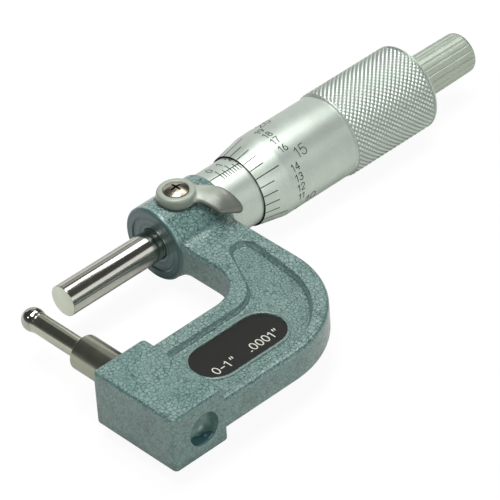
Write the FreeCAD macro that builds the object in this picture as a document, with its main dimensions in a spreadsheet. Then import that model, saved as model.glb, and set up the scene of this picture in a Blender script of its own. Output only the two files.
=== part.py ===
import FreeCAD, Part
import math
import os

import Sketcher

# Ball micrometer for wall thickness, millimetres.
# The origin is the centre of the measuring ball. +X runs along the spindle axis, from the
# ball towards the ratchet knob. The C-frame lies towards -Y and +Z is the name plate side.

doc = FreeCAD.newDocument("BallMicrometer")
sheet = doc.addObject("Spreadsheet::Sheet", "Sizes")


class Dim:
    """A size that carries its formula in the sheet and its value in millimetres."""

    def __init__(self, text, value):
        self.text = text
        self.value = float(value)

    def __add__(self, other):
        other = as_dim(other)
        return Dim("(%s + %s)" % (self.text, other.text), self.value + other.value)

    def __sub__(self, other):
        other = as_dim(other)
        return Dim("(%s - %s)" % (self.text, other.text), self.value - other.value)

    def __mul__(self, other):
        other = as_dim(other)
        return Dim("(%s * %s)" % (self.text, other.text), self.value * other.value)

    def __truediv__(self, other):
        other = as_dim(other)
        return Dim("(%s / %s)" % (self.text, other.text), self.value / other.value)

    def __neg__(self):
        return Dim("(0 - %s)" % self.text, -self.value)

    def __radd__(self, other):
        return as_dim(other) + self

    def __rsub__(self, other):
        return as_dim(other) - self

    def __rmul__(self, other):
        return as_dim(other) * self


def as_dim(value):
    if isinstance(value, Dim):
        return value
    return Dim("%.9g" % value, value)


class Sizes:
    """Each attribute is one cell of the sheet."""

    def __init__(self, cells):
        for row, (alias, value) in enumerate(cells.items(), 1):
            sheet.set("A%d" % row, alias)
            sheet.set("B%d" % row, "%.9g" % value)
            sheet.setAlias("B%d" % row, alias)
            setattr(self, alias, Dim("Sizes." + alias, value))


sizes = {
    # Measuring faces. The thimble reads 0.1926 inch in the photograph.
    "ball_radius": 2.35,
    "ball_gap": 4.892,
    "spindle_radius": 3.175,
    "edge_break": 0.2,
    # Anvil pin, measured from the spindle axis towards -Y.
    "neck_radius": 2.0,
    "collar_start": 13.7,
    "collar_radius": 3.5,
    "pin_shank_radius": 2.6,
    # Block that holds the anvil pin.
    "frame_near": 24.5,
    "block_far": 45.7,
    "block_left": 7.35,
    "block_right": 5.4,
    "block_half": 6.05,
    "block_corner": 1.0,
    "block_edge": 0.8,
    "plug_bore_radius": 3.45,
    "plug_bore_depth": 4.2,
    "plug_floor": 0.8,
    "plug_lip": 2.6,
    "plug_flat_radius": 1.6,
    # C-frame, an I-section with a rim round a recessed web on both faces.
    "arm_half": 3.3,
    "arm_edge": 0.95,
    "throat_wall": 30.5,
    "throat_radius": 7.6,
    "rear_wall": 43.3,
    "frame_radius": 20.5,
    "web_depth": 1.3,
    "web_floor_round": 0.8,
    "web_lip_round": 0.4,
    "rim_near": 3.8,
    "rim_far": 1.9,
    "rim_rear": 4.0,
    "rim_end": 3.0,
    "web_end_radius": 2.6,
    "web_end_reach": 16.9,
    "web_corner": 1.5,
    "web_left_gap": 1.6,
    "web_radius_loss": 2.4,
    "web_throat_radius": 7.7,
    "rim_throat": 1.6,
    # Boss round the spindle, and the saddle that blends it into the frame.
    "boss_front": 30.0,
    "boss_rear": 44.4,
    "boss_radius": 7.65,
    "boss_edge": 0.6,
    "saddle_radius": 5.0,
    "saddle_reach": 2.2,
    "saddle_foot": 2.5,
    "face_step_radius": 5.6,
    "face_step_depth": 0.25,
    "mouth_radius": 3.9,
    "sleeve_set_back": 1.0,
    # Name plate and the raised lip round its pocket.
    "plate_half_width": 4.75,
    "plate_near_end": 12.7,
    "plate_far_end": 24.35,
    "plate_drop": 35.15,
    "plate_thickness": 0.4,
    "plate_pocket": 0.45,
    "plate_clearance": 0.1,
    "lip_width": 0.6,
    "lip_height": 0.2,
    # Clamp.
    "clamp_place": 36.7,
    "clamp_seat_height": 6.75,
    "clamp_pad_radius": 3.8,
    "clamp_spot_radius": 4.4,
    "stud_radius": 1.95,
    "stud_clearance": 0.05,
    "washer_thickness": 0.25,
    "washer_radius": 3.3,
    "lever_boss_radius": 3.95,
    "lever_boss_round": 1.4,
    "lever_thickness": 2.3,
    "lever_under_edge": 0.3,
    "finger_root_radius": 3.2,
    "finger_round": 1.0,
    "finger_crest": 2.0,
    "finger_crest_reach": 4.6,
    "finger_top_radius": 7.5,
    "finger_under_radius": 10.4,
    "finger_root_thickness": 1.5,
    "finger_under_bend": 3.4,
    "finger_lift": 0.45,
    "crook_radius": 1.5,
    "crook_side": 0.25,
    "crook_reach": 5.6,
    "heel_radius": 1.2,
    "heel_side": 3.75,
    "heel_reach": 8.25,
    "tip_radius": 1.3,
    "tip_side": 6.05,
    "tip_reach": 9.05,
    "back_radius": 5.1,
    "back_side": 1.8,
    "back_reach": 6.8,
    "notch_radius": 0.95,
    "notch_side": 4.95,
    "notch_reach": 0.5,
    "screw_head_radius": 2.45,
    "screw_head_height": 0.6,
    "screw_sink": 0.9,
    "screw_shank_radius": 1.25,
    "screw_length": 2.4,
    "cross_length": 2.4,
    "cross_width": 0.45,
    "cross_depth": 0.5,
    "shoe_radius": 1.9,
    "shoe_height": 1.3,
    "shoe_gap": 0.1,
    "stud_gap": 0.05,
    # Sleeves and adjusting nut. The zero line of the scale is scale_zero from the ball.
    "scale_zero": 47.2,
    "sleeve_radius": 7.05,
    "sleeve_seat_radius": 5.9,
    "sleeve_end": 75.2,
    "sleeve_root_radius": 5.2,
    "sleeve_tail": 84.4,
    "tail_start": 74.0,
    "guide_end": 50.0,
    "nut_start": 70.0,
    "guide_clearance": 0.02,
    "thread_clearance": 0.03,
    "relief_bore_radius": 4.0,
    "tail_slot_width": 0.7,
    "tail_slot_length": 12.0,
    "nut_place": 76.6,
    "nut_length": 5.0,
    "nut_radius": 6.7,
    "nut_flat": 0.5,
    "wrench_hole_radius": 0.8,
    "wrench_hole_place": 47.6,
    # Spindle screw and taper seat.
    "screw_start": 56.5,
    "thread_radius": 3.75,
    "relief_length": 2.0,
    "relief_depth": 0.3,
    "seat_gap": 1.5,
    "seat_large": 3.4,
    "seat_small": 2.9,
    "tap_radius": 1.5,
    # Thimble.
    "thimble_length": 45.1,
    "thimble_nose_radius": 7.45,
    "cone_length": 6.2,
    "barrel_radius": 8.65,
    "barrel_length": 23.1,
    "knurl_ramp": 0.6,
    "knurl_radius": 9.0,
    "thimble_chamfer": 0.7,
    "thimble_bore_clearance": 0.07,
    "land_length": 8.0,
    "thimble_bore_radius": 7.45,
    "hub_length": 6.6,
    # Ratchet.
    "knob_gap": 0.25,
    "knob_root_radius": 4.5,
    "knob_band": 1.4,
    "knob_radius": 4.42,
    "knob_end_radius": 4.28,
    "knob_length": 15.9,
    "knob_bore_radius": 3.6,
    "knob_round": 1.0,
    "flute_count": 20,
    "flute_turn": 3.25,
    "flute_depth": 0.14,
    "flute_slope": 1.1,
    "flute_end_gap": 1.0,
    "crown_radius": 3.3,
    "crown_base": 1.4,
    "crown_disc": 1.8,
    "tooth_height": 0.5,
    "tooth_width": 0.8,
    "tooth_gap": 0.3,
    "tooth_count": 12,
    "arbor_radius": 2.0,
    "arbor_bore": 1.58,
    "arbor_clearance": 0.05,
    "spring_length": 5.0,
    "spring_radius": 2.75,
    "wire_radius": 0.25,
    "spring_turns": 4,
    "ratchet_washer": 0.6,
    "knob_recess_radius": 2.8,
    "knob_recess_depth": 2.7,
    "ratchet_head_radius": 2.5,
    "ratchet_head_height": 1.5,
    "ratchet_slot_width": 0.7,
    "ratchet_slot_depth": 0.6,
}
d = Sizes(sizes)
none = as_dim(0)

spindle_face = d.ball_radius + d.ball_gap
thimble_front = d.scale_zero + d.ball_gap
thimble_rear = thimble_front + d.thimble_length
hub_face = thimble_rear - d.hub_length
lever_base = d.clamp_seat_height + d.washer_thickness
lever_top = lever_base + d.lever_thickness
web_floor = d.arm_half - d.web_depth

nodes = []


def keep(obj, label):
    """Give a finished piece the name of its node."""
    obj.Label = label
    nodes.append(obj)
    return obj


def bind(obj, prop, size):
    obj.setExpression(prop, as_dim(size).text)


def primitive(kind, name, place=(none, none, none), **sizes):
    """A Part primitive, bound to the sheet."""
    obj = doc.addObject("Part::" + kind, name)
    for prop, size in sizes.items():
        bind(obj, prop, size)
    for axis, size in zip("xyz", place):
        bind(obj, "Placement.Base." + axis, size)
    return obj


def turn_axis(obj, direction):
    """Point the Z axis of a primitive another way."""
    turn = FreeCAD.Rotation(FreeCAD.Vector(0, 0, 1), FreeCAD.Vector(*direction))
    obj.Placement = FreeCAD.Placement(obj.Placement.Base, turn)
    return obj


def cut(name, base, tools):
    """Take one or more tools away from a base."""
    tool = tools[0]
    if len(tools) > 1:
        tool = doc.addObject("Part::MultiFuse", name + "_tools")
        tool.Shapes = tools
    result = doc.addObject("Part::Cut", name)
    result.Base = base
    result.Tool = tool
    return result


def new_body(name):
    return doc.addObject("PartDesign::Body", name)


def origin_feature(body, role):
    """One of the body's own planes or axes."""
    return [f for f in body.Origin.OriginFeatures if f.Role == role][0]


def new_sketch(body, plane, offset=None):
    """A sketch on one of the body's own planes, raised along its normal."""
    sketch = body.newObject("Sketcher::SketchObject", body.Name + "_sketch")
    sketch.AttachmentSupport = [(origin_feature(body, plane), "")]
    sketch.MapMode = "FlatFace"
    if offset is not None:
        bind(sketch, "AttachmentOffset.Base.z", offset)
    return sketch


def fix(sketch, kind, place, size):
    """Constrain one value and bind it to the sheet."""
    size = as_dim(size)
    index = sketch.addConstraint(Sketcher.Constraint(kind, *place, size.value))
    sketch.setExpression("Constraints[%d]" % index, size.text)


def vector(x, y):
    return FreeCAD.Vector(x, y, 0)


def bulge(start, end, radius, side):
    """Arc between two points, its centre to the left of the way for side 1."""
    mid = (start + end) * 0.5
    way = end - start
    half = way.Length / 2
    rise = math.sqrt(max(radius * radius - half * half, 0))
    left = vector(-way.y, way.x)
    left.normalize()
    centre = mid + left * (rise * side)
    circle = Part.Circle(centre, FreeCAD.Vector(0, 0, 1), radius)
    first = math.atan2(start.y - centre.y, start.x - centre.x)
    last = math.atan2(end.y - centre.y, end.x - centre.x)
    if side > 0:
        return Part.ArcOfCircle(circle, first, last)
    return Part.ArcOfCircle(circle, last, first)


def polygon(sketch, corners, arcs=None):
    """Closed outline through corners. arcs gives a radius and a side for some of its sides."""
    arcs = arcs or {}
    corners = [(as_dim(x), as_dim(y)) for x, y in corners]
    points = [vector(x.value, y.value) for x, y in corners]
    ends = []
    for i, point in enumerate(points):
        after = points[(i + 1) % len(points)]
        if i in arcs:
            radius, side = arcs[i]
            sketch.addGeometry(bulge(point, after, radius.value, side), False)
            ends.append((1, 2) if side > 0 else (2, 1))
        else:
            sketch.addGeometry(Part.LineSegment(point, after), False)
            ends.append((1, 2))
    for i, corner in enumerate(corners):
        after = (i + 1) % len(corners)
        sketch.addConstraint(Sketcher.Constraint("Coincident", i, ends[i][1], after, ends[after][0]))
        fix(sketch, "DistanceX", (-1, 1, i, ends[i][0]), corner[0])
        fix(sketch, "DistanceY", (-1, 1, i, ends[i][0]), corner[1])
        if i in arcs:
            fix(sketch, "Radius", (i,), arcs[i][0])


def belt(sketch, rounds):
    """Closed outline of arcs joined by tangent lines, as a belt runs over pulleys.

    Each round is centre x, centre y, radius and 1, or -1 where the outline is hollow.
    """
    rounds = [(as_dim(x), as_dim(y), as_dim(r), side) for x, y, r, side in rounds]
    count = len(rounds)
    ways = []
    for i in range(count):
        x0, y0, r0, side0 = rounds[i]
        x1, y1, r1, side1 = rounds[(i + 1) % count]
        dx = x1.value - x0.value
        dy = y1.value - y0.value
        lean = math.asin((side1 * r1.value - side0 * r0.value) / math.hypot(dx, dy))
        ways.append(math.atan2(dy, dx) - lean)

    def touch(i, way):
        x, y, r, side = rounds[i]
        reach = side * r.value
        return vector(x.value + reach * math.sin(way), y.value - reach * math.cos(way))

    for i, (x, y, r, side) in enumerate(rounds):
        circle = Part.Circle(vector(x.value, y.value), FreeCAD.Vector(0, 0, 1), r.value)
        into = touch(i, ways[i - 1]) - circle.Center
        out = touch(i, ways[i]) - circle.Center
        first = math.atan2(into.y, into.x)
        last = math.atan2(out.y, out.x)
        if side < 0:
            first, last = last, first
        sketch.addGeometry(Part.ArcOfCircle(circle, first, last), False)
    for i in range(count):
        after = (i + 1) % count
        sketch.addGeometry(Part.LineSegment(touch(i, ways[i]), touch(after, ways[i])), False)
    for i, (x, y, r, side) in enumerate(rounds):
        after = (i + 1) % count
        line = count + i
        leave = 2 if side > 0 else 1
        arrive = 1 if rounds[after][3] > 0 else 2
        sketch.addConstraint(Sketcher.Constraint("Tangent", line, 1, i, leave))
        sketch.addConstraint(Sketcher.Constraint("Tangent", line, 2, after, arrive))
        fix(sketch, "Radius", (i,), r)
        fix(sketch, "DistanceX", (-1, 1, i, 3), x)
        fix(sketch, "DistanceY", (-1, 1, i, 3), y)


def pad(body, sketch, length, both_ways=False):
    feature = body.newObject("PartDesign::Pad", body.Name + "_pad")
    feature.Profile = sketch
    bind(feature, "Length", length)
    if both_ways:
        feature.SideType = "Symmetric"
    return feature


def belt_pad(name, plane, rounds, length, start=None, both_ways=False):
    """A plate of belt outline, from start along the plane's normal."""
    body = new_body(name)
    sketch = new_sketch(body, plane, start)
    belt(sketch, rounds)
    pad(body, sketch, length, both_ways)
    return body


def turned(name, corners, arcs=None, plane="XY_Plane", axis="H_Axis"):
    """A piece of revolution about the X axis, or about V_Axis of another plane."""
    body = new_body(name)
    sketch = new_sketch(body, plane)
    polygon(sketch, corners, arcs)
    feature = body.newObject("PartDesign::Revolution", name + "_turning")
    feature.Profile = sketch
    feature.ReferenceAxis = (sketch, [axis])
    feature.Angle = 360
    return body


def ring(name, start, end, inner, outer, break_edge=0):
    """A plain turned ring about the X axis, with its outer edges broken."""
    corners = [
        (start, inner),
        (end, inner),
        (end, outer - break_edge),
        (end - break_edge, outer),
        (start + break_edge, outer),
        (start, outer - break_edge),
    ]
    if not break_edge:
        corners = [(start, inner), (end, inner), (end, outer), (start, outer)]
    return turned(name, corners)


def round_edges(body, radius, wanted):
    """Fillet the edges of a body's tip that the test picks."""
    doc.recompute()
    tip = body.Tip
    names = []
    for i, edge in enumerate(tip.Shape.Edges):
        if wanted(edge):
            names.append("Edge%d" % (i + 1))
    feature = body.newObject("PartDesign::Fillet", body.Name + "_fillet")
    feature.Base = (tip, names)
    bind(feature, "Radius", radius)
    return feature


def flat_at(edge, axis, value):
    """True where the whole edge lies at one coordinate."""
    box = edge.BoundBox
    low, high = {"x": (box.XMin, box.XMax), "y": (box.YMin, box.YMax), "z": (box.ZMin, box.ZMax)}[axis]
    return abs(low - value) < 1e-4 and abs(high - value) < 1e-4


def round_part(name, base, radius, wanted):
    """Fillet some edges of a boolean's result. The first radius is bound by a later recompute."""
    doc.recompute()
    feature = doc.addObject("Part::Fillet", name)
    feature.Base = base
    picked = []
    for i, edge in enumerate(base.Shape.Edges):
        if wanted(edge):
            picked.append((i + 1, radius.value, radius.value))
    feature.Edges = picked
    return feature


# Frame: arm, block, boss and saddle are one forging.
def arm_blank():
    inset = d.arm_edge
    body = belt_pad(
        "frame_arm",
        "XY_Plane",
        [
            (-d.block_left / 2, -(d.block_far - inset), inset, 1),
            (d.rear_wall - d.frame_radius, -(d.block_far - d.frame_radius), d.frame_radius, 1),
            (d.rear_wall - inset, -inset, inset, 1),
            (d.throat_wall + inset, -inset, inset, 1),
            (d.throat_wall - d.throat_radius, -(d.frame_near - d.throat_radius), d.throat_radius, -1),
            (-d.block_left / 2, -(d.frame_near + inset), inset, 1),
        ],
        d.arm_half * 2,
        both_ways=True,
    )
    half = d.arm_half.value
    round_edges(body, d.arm_edge, lambda e: flat_at(e, "z", half) or flat_at(e, "z", -half))
    return body


def block_blank():
    corner = d.block_corner
    body = belt_pad(
        "frame_block",
        "XY_Plane",
        [
            (-(d.block_left - corner), -(d.block_far - corner), corner, 1),
            (d.block_right - corner / 2, -(d.block_far - corner / 2), corner / 2, 1),
            (d.block_right - corner, -(d.frame_near + corner), corner, 1),
            (-(d.block_left - corner), -(d.frame_near + corner), corner, 1),
        ],
        d.block_half * 2,
        both_ways=True,
    )
    half = d.block_half.value
    round_edges(body, d.block_edge, lambda e: flat_at(e, "z", half) or flat_at(e, "z", -half))
    return body


def boss_blank():
    edge = d.boss_edge
    corners = [
        (d.boss_front, none),
        (d.boss_rear, none),
        (d.boss_rear, d.boss_radius - edge),
        (d.boss_rear - edge, d.boss_radius),
        (d.boss_front + edge, d.boss_radius),
        (d.boss_front, d.boss_radius - edge),
    ]
    return turned("frame_boss", corners, {2: (edge, 1), 4: (edge, 1)})


def saddle_blank():
    inset = d.arm_edge
    body = belt_pad(
        "frame_saddle",
        "YZ_Plane",
        [
            (none, none, d.boss_radius, 1),
            (-(d.boss_radius + d.saddle_reach), d.arm_half + d.saddle_radius, d.saddle_radius, -1),
            (-(d.boss_radius + d.saddle_reach + d.saddle_foot), d.arm_half - inset, inset, 1),
            (-(d.boss_radius + d.saddle_reach + d.saddle_foot), inset - d.arm_half, inset, 1),
            (-(d.boss_radius + d.saddle_reach), -(d.arm_half + d.saddle_radius), d.saddle_radius, -1),
        ],
        d.rear_wall - d.throat_wall,
        start=d.throat_wall,
    )
    ends = (d.throat_wall.value, d.rear_wall.value)
    round_edges(body, d.arm_edge, lambda e: flat_at(e, "x", ends[0]) or flat_at(e, "x", ends[1]))
    return body


def web_tool(name, start):
    """The hollow beside the web, down from one face of the frame."""
    left = d.block_right + d.web_left_gap + d.web_corner
    radius = d.frame_radius - d.web_radius_loss
    throat = d.web_throat_radius
    near = d.frame_near + d.rim_near
    far = d.block_far - d.rim_far
    right = d.rear_wall - d.rim_rear
    return belt_pad(
        name,
        "XY_Plane",
        [
            (left, -(far - d.web_corner), d.web_corner, 1),
            (right - radius, -(far - radius), radius, 1),
            (d.rear_wall - d.rim_end - d.web_end_radius, -d.web_end_reach, d.web_end_radius, 1),
            (d.throat_wall + d.rim_throat - throat, -(near - throat), throat, -1),
            (left, -(near + d.web_corner), d.web_corner, 1),
        ],
        d.web_depth + d.web_depth,
        start=start,
    )


def plate_rounds(radius):
    return [
        (d.plate_far_end, -d.plate_drop, radius, 1),
        (d.plate_near_end, -d.plate_drop, radius, 1),
    ]


def make_frame():
    blank = doc.addObject("Part::MultiFuse", "frame_blank")
    pad_disc = primitive(
        "Cylinder",
        "clamp_pad",
        (d.clamp_place, none, d.boss_radius / 2),
        Radius=d.clamp_pad_radius,
        Height=d.clamp_seat_height - d.boss_radius / 2,
    )
    blank.Shapes = [arm_blank(), block_blank(), boss_blank(), saddle_blank(), pad_disc]
    blank.Refine = True
    webs = []
    floor = web_floor.value
    for name, start, level in (
        ("web_front", web_floor, floor),
        ("web_back", -(web_floor + d.web_depth * 2), -floor),
    ):
        tool = web_tool(name, start)
        round_edges(tool, d.web_floor_round, lambda e, z=level: flat_at(e, "z", z))
        webs.append(tool)
    hollowed = cut("frame_hollowed", blank, webs)
    half = d.arm_half.value
    rim_inside = d.throat_wall.value - d.web_end_radius.value

    def lip_edge(edge):
        box = edge.BoundBox
        inside = box.YMax < -d.web_end_reach.value + d.web_end_radius.value + 1e-3
        inside = inside and box.YMin > -(d.block_far.value - d.rim_far.value) - 1e-3
        inside = inside and box.XMax < d.rear_wall.value - d.rim_end.value + 1e-3
        inside = inside and box.XMin > d.block_right.value + d.web_left_gap.value - 1e-3
        near_rim = box.YMax < -d.frame_near.value or box.XMax > rim_inside
        return inside and near_rim and (flat_at(edge, "z", half) or flat_at(edge, "z", -half))

    softened = round_part("frame_softened", hollowed, d.web_lip_round, lip_edge)
    lip = belt_pad(
        "plate_lip",
        "XY_Plane",
        plate_rounds(d.plate_half_width + d.plate_clearance + d.lip_width),
        d.plate_pocket + d.lip_height,
        start=web_floor - d.plate_pocket,
    )
    lipped = doc.addObject("Part::MultiFuse", "frame_lipped")
    lipped.Shapes = [softened, lip]
    pocket = belt_pad(
        "plate_pocket",
        "XY_Plane",
        plate_rounds(d.plate_half_width + d.plate_clearance),
        d.plate_pocket * 3,
        start=web_floor - d.plate_pocket,
    )
    sleeve_face = d.boss_front + d.sleeve_set_back
    bore = turned(
        "frame_bore",
        [
            (d.boss_front - d.sleeve_set_back, none),
            (d.boss_rear + d.sleeve_set_back, none),
            (d.boss_rear + d.sleeve_set_back, d.sleeve_root_radius),
            (sleeve_face, d.sleeve_root_radius),
            (sleeve_face, d.mouth_radius),
            (d.boss_front + d.face_step_depth, d.mouth_radius),
            (d.boss_front + d.face_step_depth, d.face_step_radius),
            (d.boss_front, d.face_step_radius + d.face_step_depth),
            (d.boss_front - d.sleeve_set_back, d.face_step_radius + d.face_step_depth),
        ],
    )
    spot = primitive(
        "Cylinder",
        "clamp_spot",
        (d.clamp_place, none, d.clamp_seat_height),
        Radius=d.clamp_spot_radius,
        Height=d.boss_radius,
    )
    stud_hole = primitive(
        "Cylinder",
        "stud_hole",
        (d.clamp_place, none, d.spindle_radius),
        Radius=d.stud_radius + d.stud_clearance,
        Height=d.boss_radius,
    )
    pin_bore = primitive(
        "Cylinder",
        "pin_bore",
        (none, -(d.frame_near - d.block_corner), none),
        Radius=d.pin_shank_radius,
        Height=d.block_far - d.frame_near,
    )
    plug_bore = primitive(
        "Cylinder",
        "plug_bore",
        (none, -(d.block_far - d.plug_bore_depth), none),
        Radius=d.plug_bore_radius,
        Height=d.plug_bore_depth * 2,
    )
    turn_axis(pin_bore, (0, -1, 0))
    turn_axis(plug_bore, (0, -1, 0))
    keep(cut("frame_cut", lipped, [pocket, bore, spot, stud_hole, pin_bore, plug_bore]), "frame")


def make_anvil():
    tail = d.block_far - d.plug_bore_depth
    seat = d.ball_radius / 2
    corners = [
        (none, -seat),
        (d.neck_radius, -seat),
        (d.neck_radius, -d.collar_start),
        (d.collar_radius - d.edge_break, -d.collar_start),
        (d.collar_radius, -(d.collar_start + d.edge_break)),
        (d.collar_radius, -d.frame_near),
        (d.pin_shank_radius, -d.frame_near),
        (d.pin_shank_radius, -tail),
        (none, -tail),
    ]
    pin = turned("pin_turned", corners, axis="V_Axis")
    cup = primitive("Sphere", "ball_cup", Radius=d.ball_radius)
    keep(cut("pin_cut", pin, [cup]), "anvil_pin")
    keep(primitive("Sphere", "ball", Radius=d.ball_radius), "anvil_ball")
    # The plug is dished: a flat floor and a hollow that runs up to the wall of its bore.
    hollow = d.plug_bore_radius - d.plug_flat_radius
    plug_corners = [
        (none, -tail),
        (none, -(tail + d.plug_floor)),
        (d.plug_flat_radius, -(tail + d.plug_floor)),
        (d.plug_bore_radius, -(tail + d.plug_lip)),
        (d.plug_bore_radius, -tail),
    ]
    plug = turned("plug", plug_corners, {2: (hollow, -1)}, axis="V_Axis")
    keep(plug, "bore_plug")


def make_sleeves():
    root = d.boss_front + d.sleeve_set_back
    guide = d.spindle_radius + d.guide_clearance
    nut_bore = d.thread_radius + d.thread_clearance
    body = turned(
        "sleeve_inner",
        [
            (root, guide),
            (d.guide_end, guide),
            (d.guide_end, d.relief_bore_radius),
            (d.nut_start, d.relief_bore_radius),
            (d.nut_start, nut_bore),
            (d.sleeve_tail, nut_bore),
            (d.sleeve_tail, d.sleeve_root_radius - d.edge_break),
            (d.sleeve_tail - d.edge_break, d.sleeve_root_radius),
            (d.tail_start, d.sleeve_root_radius),
            (d.tail_start, d.sleeve_seat_radius),
            (d.boss_rear, d.sleeve_seat_radius),
            (d.boss_rear, d.sleeve_root_radius),
            (root, d.sleeve_root_radius),
        ],
    )
    doc.recompute()
    slot = new_sketch(body, "XZ_Plane")
    slot_start = d.sleeve_tail - d.tail_slot_length
    polygon(
        slot,
        [
            (slot_start, -d.tail_slot_width / 2),
            (d.sleeve_tail + 1, -d.tail_slot_width / 2),
            (d.sleeve_tail + 1, d.tail_slot_width / 2),
            (slot_start, d.tail_slot_width / 2),
        ],
    )
    slit = body.newObject("PartDesign::Pocket", "tail_slit")
    slit.Profile = slot
    bind(slit, "Length", d.sleeve_seat_radius)
    pattern = body.newObject("PartDesign::PolarPattern", "tail_slits")
    pattern.Originals = [slit]
    pattern.Axis = (slot, ["H_Axis"])
    pattern.Angle = 360
    pattern.Occurrences = 3
    body.Tip = pattern
    stud_hole = primitive(
        "Cylinder",
        "sleeve_stud_hole",
        (d.clamp_place, none, none),
        Radius=d.stud_radius + d.stud_clearance,
        Height=d.boss_radius,
    )
    keep(cut("sleeve_inner_cut", body, [stud_hole]), "inner_sleeve")
    outer = ring(
        "sleeve_outer", d.boss_rear, d.sleeve_end, d.sleeve_seat_radius, d.sleeve_radius, d.edge_break
    )
    wrench_hole = primitive(
        "Cylinder",
        "wrench_hole",
        (d.wrench_hole_place, none, -d.sleeve_radius - 1),
        Radius=d.wrench_hole_radius,
        Height=d.sleeve_radius - d.sleeve_seat_radius / 2,
    )
    keep(cut("sleeve_outer_cut", outer, [wrench_hole]), "outer_sleeve")
    nut = ring(
        "nut_blank",
        d.nut_place,
        d.nut_place + d.nut_length,
        d.sleeve_root_radius,
        d.nut_radius,
        d.edge_break,
    )
    flats = []
    for side in (1, -1):
        flat = primitive(
            "Box",
            "nut_flat_%s" % ("a" if side > 0 else "b"),
            (
                d.nut_place - 1,
                -d.nut_radius,
                d.nut_radius - d.nut_flat if side > 0 else d.nut_flat - d.nut_radius * 2,
            ),
            Length=d.nut_length + 2,
            Width=d.nut_radius * 2,
            Height=d.nut_radius,
        )
        flats.append(flat)
    keep(cut("nut_cut", nut, flats), "adjusting_nut")


def make_spindle():
    relief = d.spindle_radius - d.relief_depth
    thread_end = hub_face - d.seat_gap
    body = turned(
        "spindle_turned",
        [
            (spindle_face, none),
            (spindle_face, d.spindle_radius - d.edge_break),
            (spindle_face + d.edge_break, d.spindle_radius),
            (d.screw_start - d.relief_length, d.spindle_radius),
            (d.screw_start - d.relief_length, relief),
            (d.screw_start, relief),
            (d.screw_start, d.thread_radius - d.relief_depth),
            (d.screw_start + d.relief_depth, d.thread_radius),
            (thread_end, d.thread_radius),
            (thread_end, d.seat_large),
            (hub_face, d.seat_large),
            (thimble_rear, d.seat_small),
            (thimble_rear, d.tap_radius),
            (hub_face, d.tap_radius),
            (hub_face, none),
        ],
    )
    keep(body, "spindle")


def make_thimble():
    land = d.sleeve_radius + d.thimble_bore_clearance
    knurl_start = thimble_front + d.barrel_length + d.knurl_ramp
    body = turned(
        "thimble_turned",
        [
            (thimble_front, land),
            (thimble_front + d.land_length, land),
            (thimble_front + d.land_length, d.thimble_bore_radius),
            (hub_face, d.thimble_bore_radius),
            (hub_face, d.seat_large),
            (thimble_rear, d.seat_small),
            (thimble_rear, d.knurl_radius - d.thimble_chamfer),
            (thimble_rear - d.thimble_chamfer, d.knurl_radius),
            (knurl_start, d.knurl_radius),
            (thimble_front + d.barrel_length, d.barrel_radius),
            (thimble_front + d.cone_length, d.barrel_radius),
            (thimble_front, d.thimble_nose_radius),
        ],
    )
    keep(body, "thimble")


def toothed(name, disc_start, disc_end, bore, outer, tooth_side):
    """A ratchet disc with saw teeth on one face."""
    body = turned(
        name, [(disc_start, bore), (disc_end, bore), (disc_end, outer), (disc_start, outer)]
    )
    doc.recompute()
    root = disc_end if tooth_side > 0 else disc_start
    sink = d.tooth_height / 2
    sketch = new_sketch(body, "XZ_Plane", bore + sink)
    tip = root + d.tooth_height if tooth_side > 0 else root - d.tooth_height
    base = root - sink if tooth_side > 0 else root + sink
    corners = [
        (base, -d.tooth_width / 2),
        (root, -d.tooth_width / 2),
        (tip, d.tooth_width / 2 - d.tooth_width / 8),
        (tip, d.tooth_width / 2),
        (base, d.tooth_width / 2),
    ]
    polygon(sketch, corners)
    tooth = body.newObject("PartDesign::Pad", name + "_tooth")
    tooth.Profile = sketch
    bind(tooth, "Length", d.crown_radius - bore - d.tooth_height)
    pattern = body.newObject("PartDesign::PolarPattern", name + "_teeth")
    pattern.Originals = [tooth]
    pattern.Axis = (origin_feature(body, "X_Axis"), [""])
    pattern.Angle = 360
    bind(pattern, "Occurrences", d.tooth_count)
    body.Tip = pattern
    return body


def make_knob(knob_start, recess_start, web_start):
    end = knob_start + d.knob_length
    band_end = knob_start + d.knob_band
    body = turned(
        "knob_turned",
        [
            (knob_start, d.knob_bore_radius),
            (web_start, d.knob_bore_radius),
            (web_start, d.arbor_radius + d.arbor_clearance),
            (recess_start, d.arbor_radius + d.arbor_clearance),
            (recess_start, d.knob_recess_radius),
            (end, d.knob_recess_radius),
            (end, d.knob_end_radius - d.knob_round),
            (end - d.knob_round, d.knob_end_radius),
            (band_end, d.knob_radius),
            (band_end, d.knob_root_radius),
            (knob_start + d.edge_break, d.knob_root_radius),
            (knob_start, d.knob_root_radius - d.edge_break),
        ],
        {6: (d.knob_round, 1)},
    )
    doc.recompute()
    sketch = new_sketch(body, "YZ_Plane", band_end)
    floor = d.knob_end_radius - d.flute_depth
    half = (d.knob_root_radius - d.knob_end_radius + d.flute_depth * 2) * d.flute_slope
    mouth = d.knob_root_radius + d.flute_depth
    polygon(sketch, [(floor, none), (mouth, -half), (mouth, half)])
    groove = body.newObject("PartDesign::Pocket", "knob_groove")
    groove.Profile = sketch
    groove.Reversed = True
    bind(groove, "Length", d.knob_length - d.knob_band - d.flute_end_gap)
    pattern = body.newObject("PartDesign::PolarPattern", "knob_flutes")
    pattern.Originals = [groove]
    pattern.Axis = (sketch, ["N_Axis"])
    pattern.Angle = 360
    bind(pattern, "Occurrences", d.flute_count)
    body.Tip = pattern
    turn = FreeCAD.Rotation(FreeCAD.Vector(1, 0, 0), -d.flute_turn.value)
    body.Placement = FreeCAD.Placement(FreeCAD.Vector(), turn)
    keep(body, "ratchet_knob")


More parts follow.
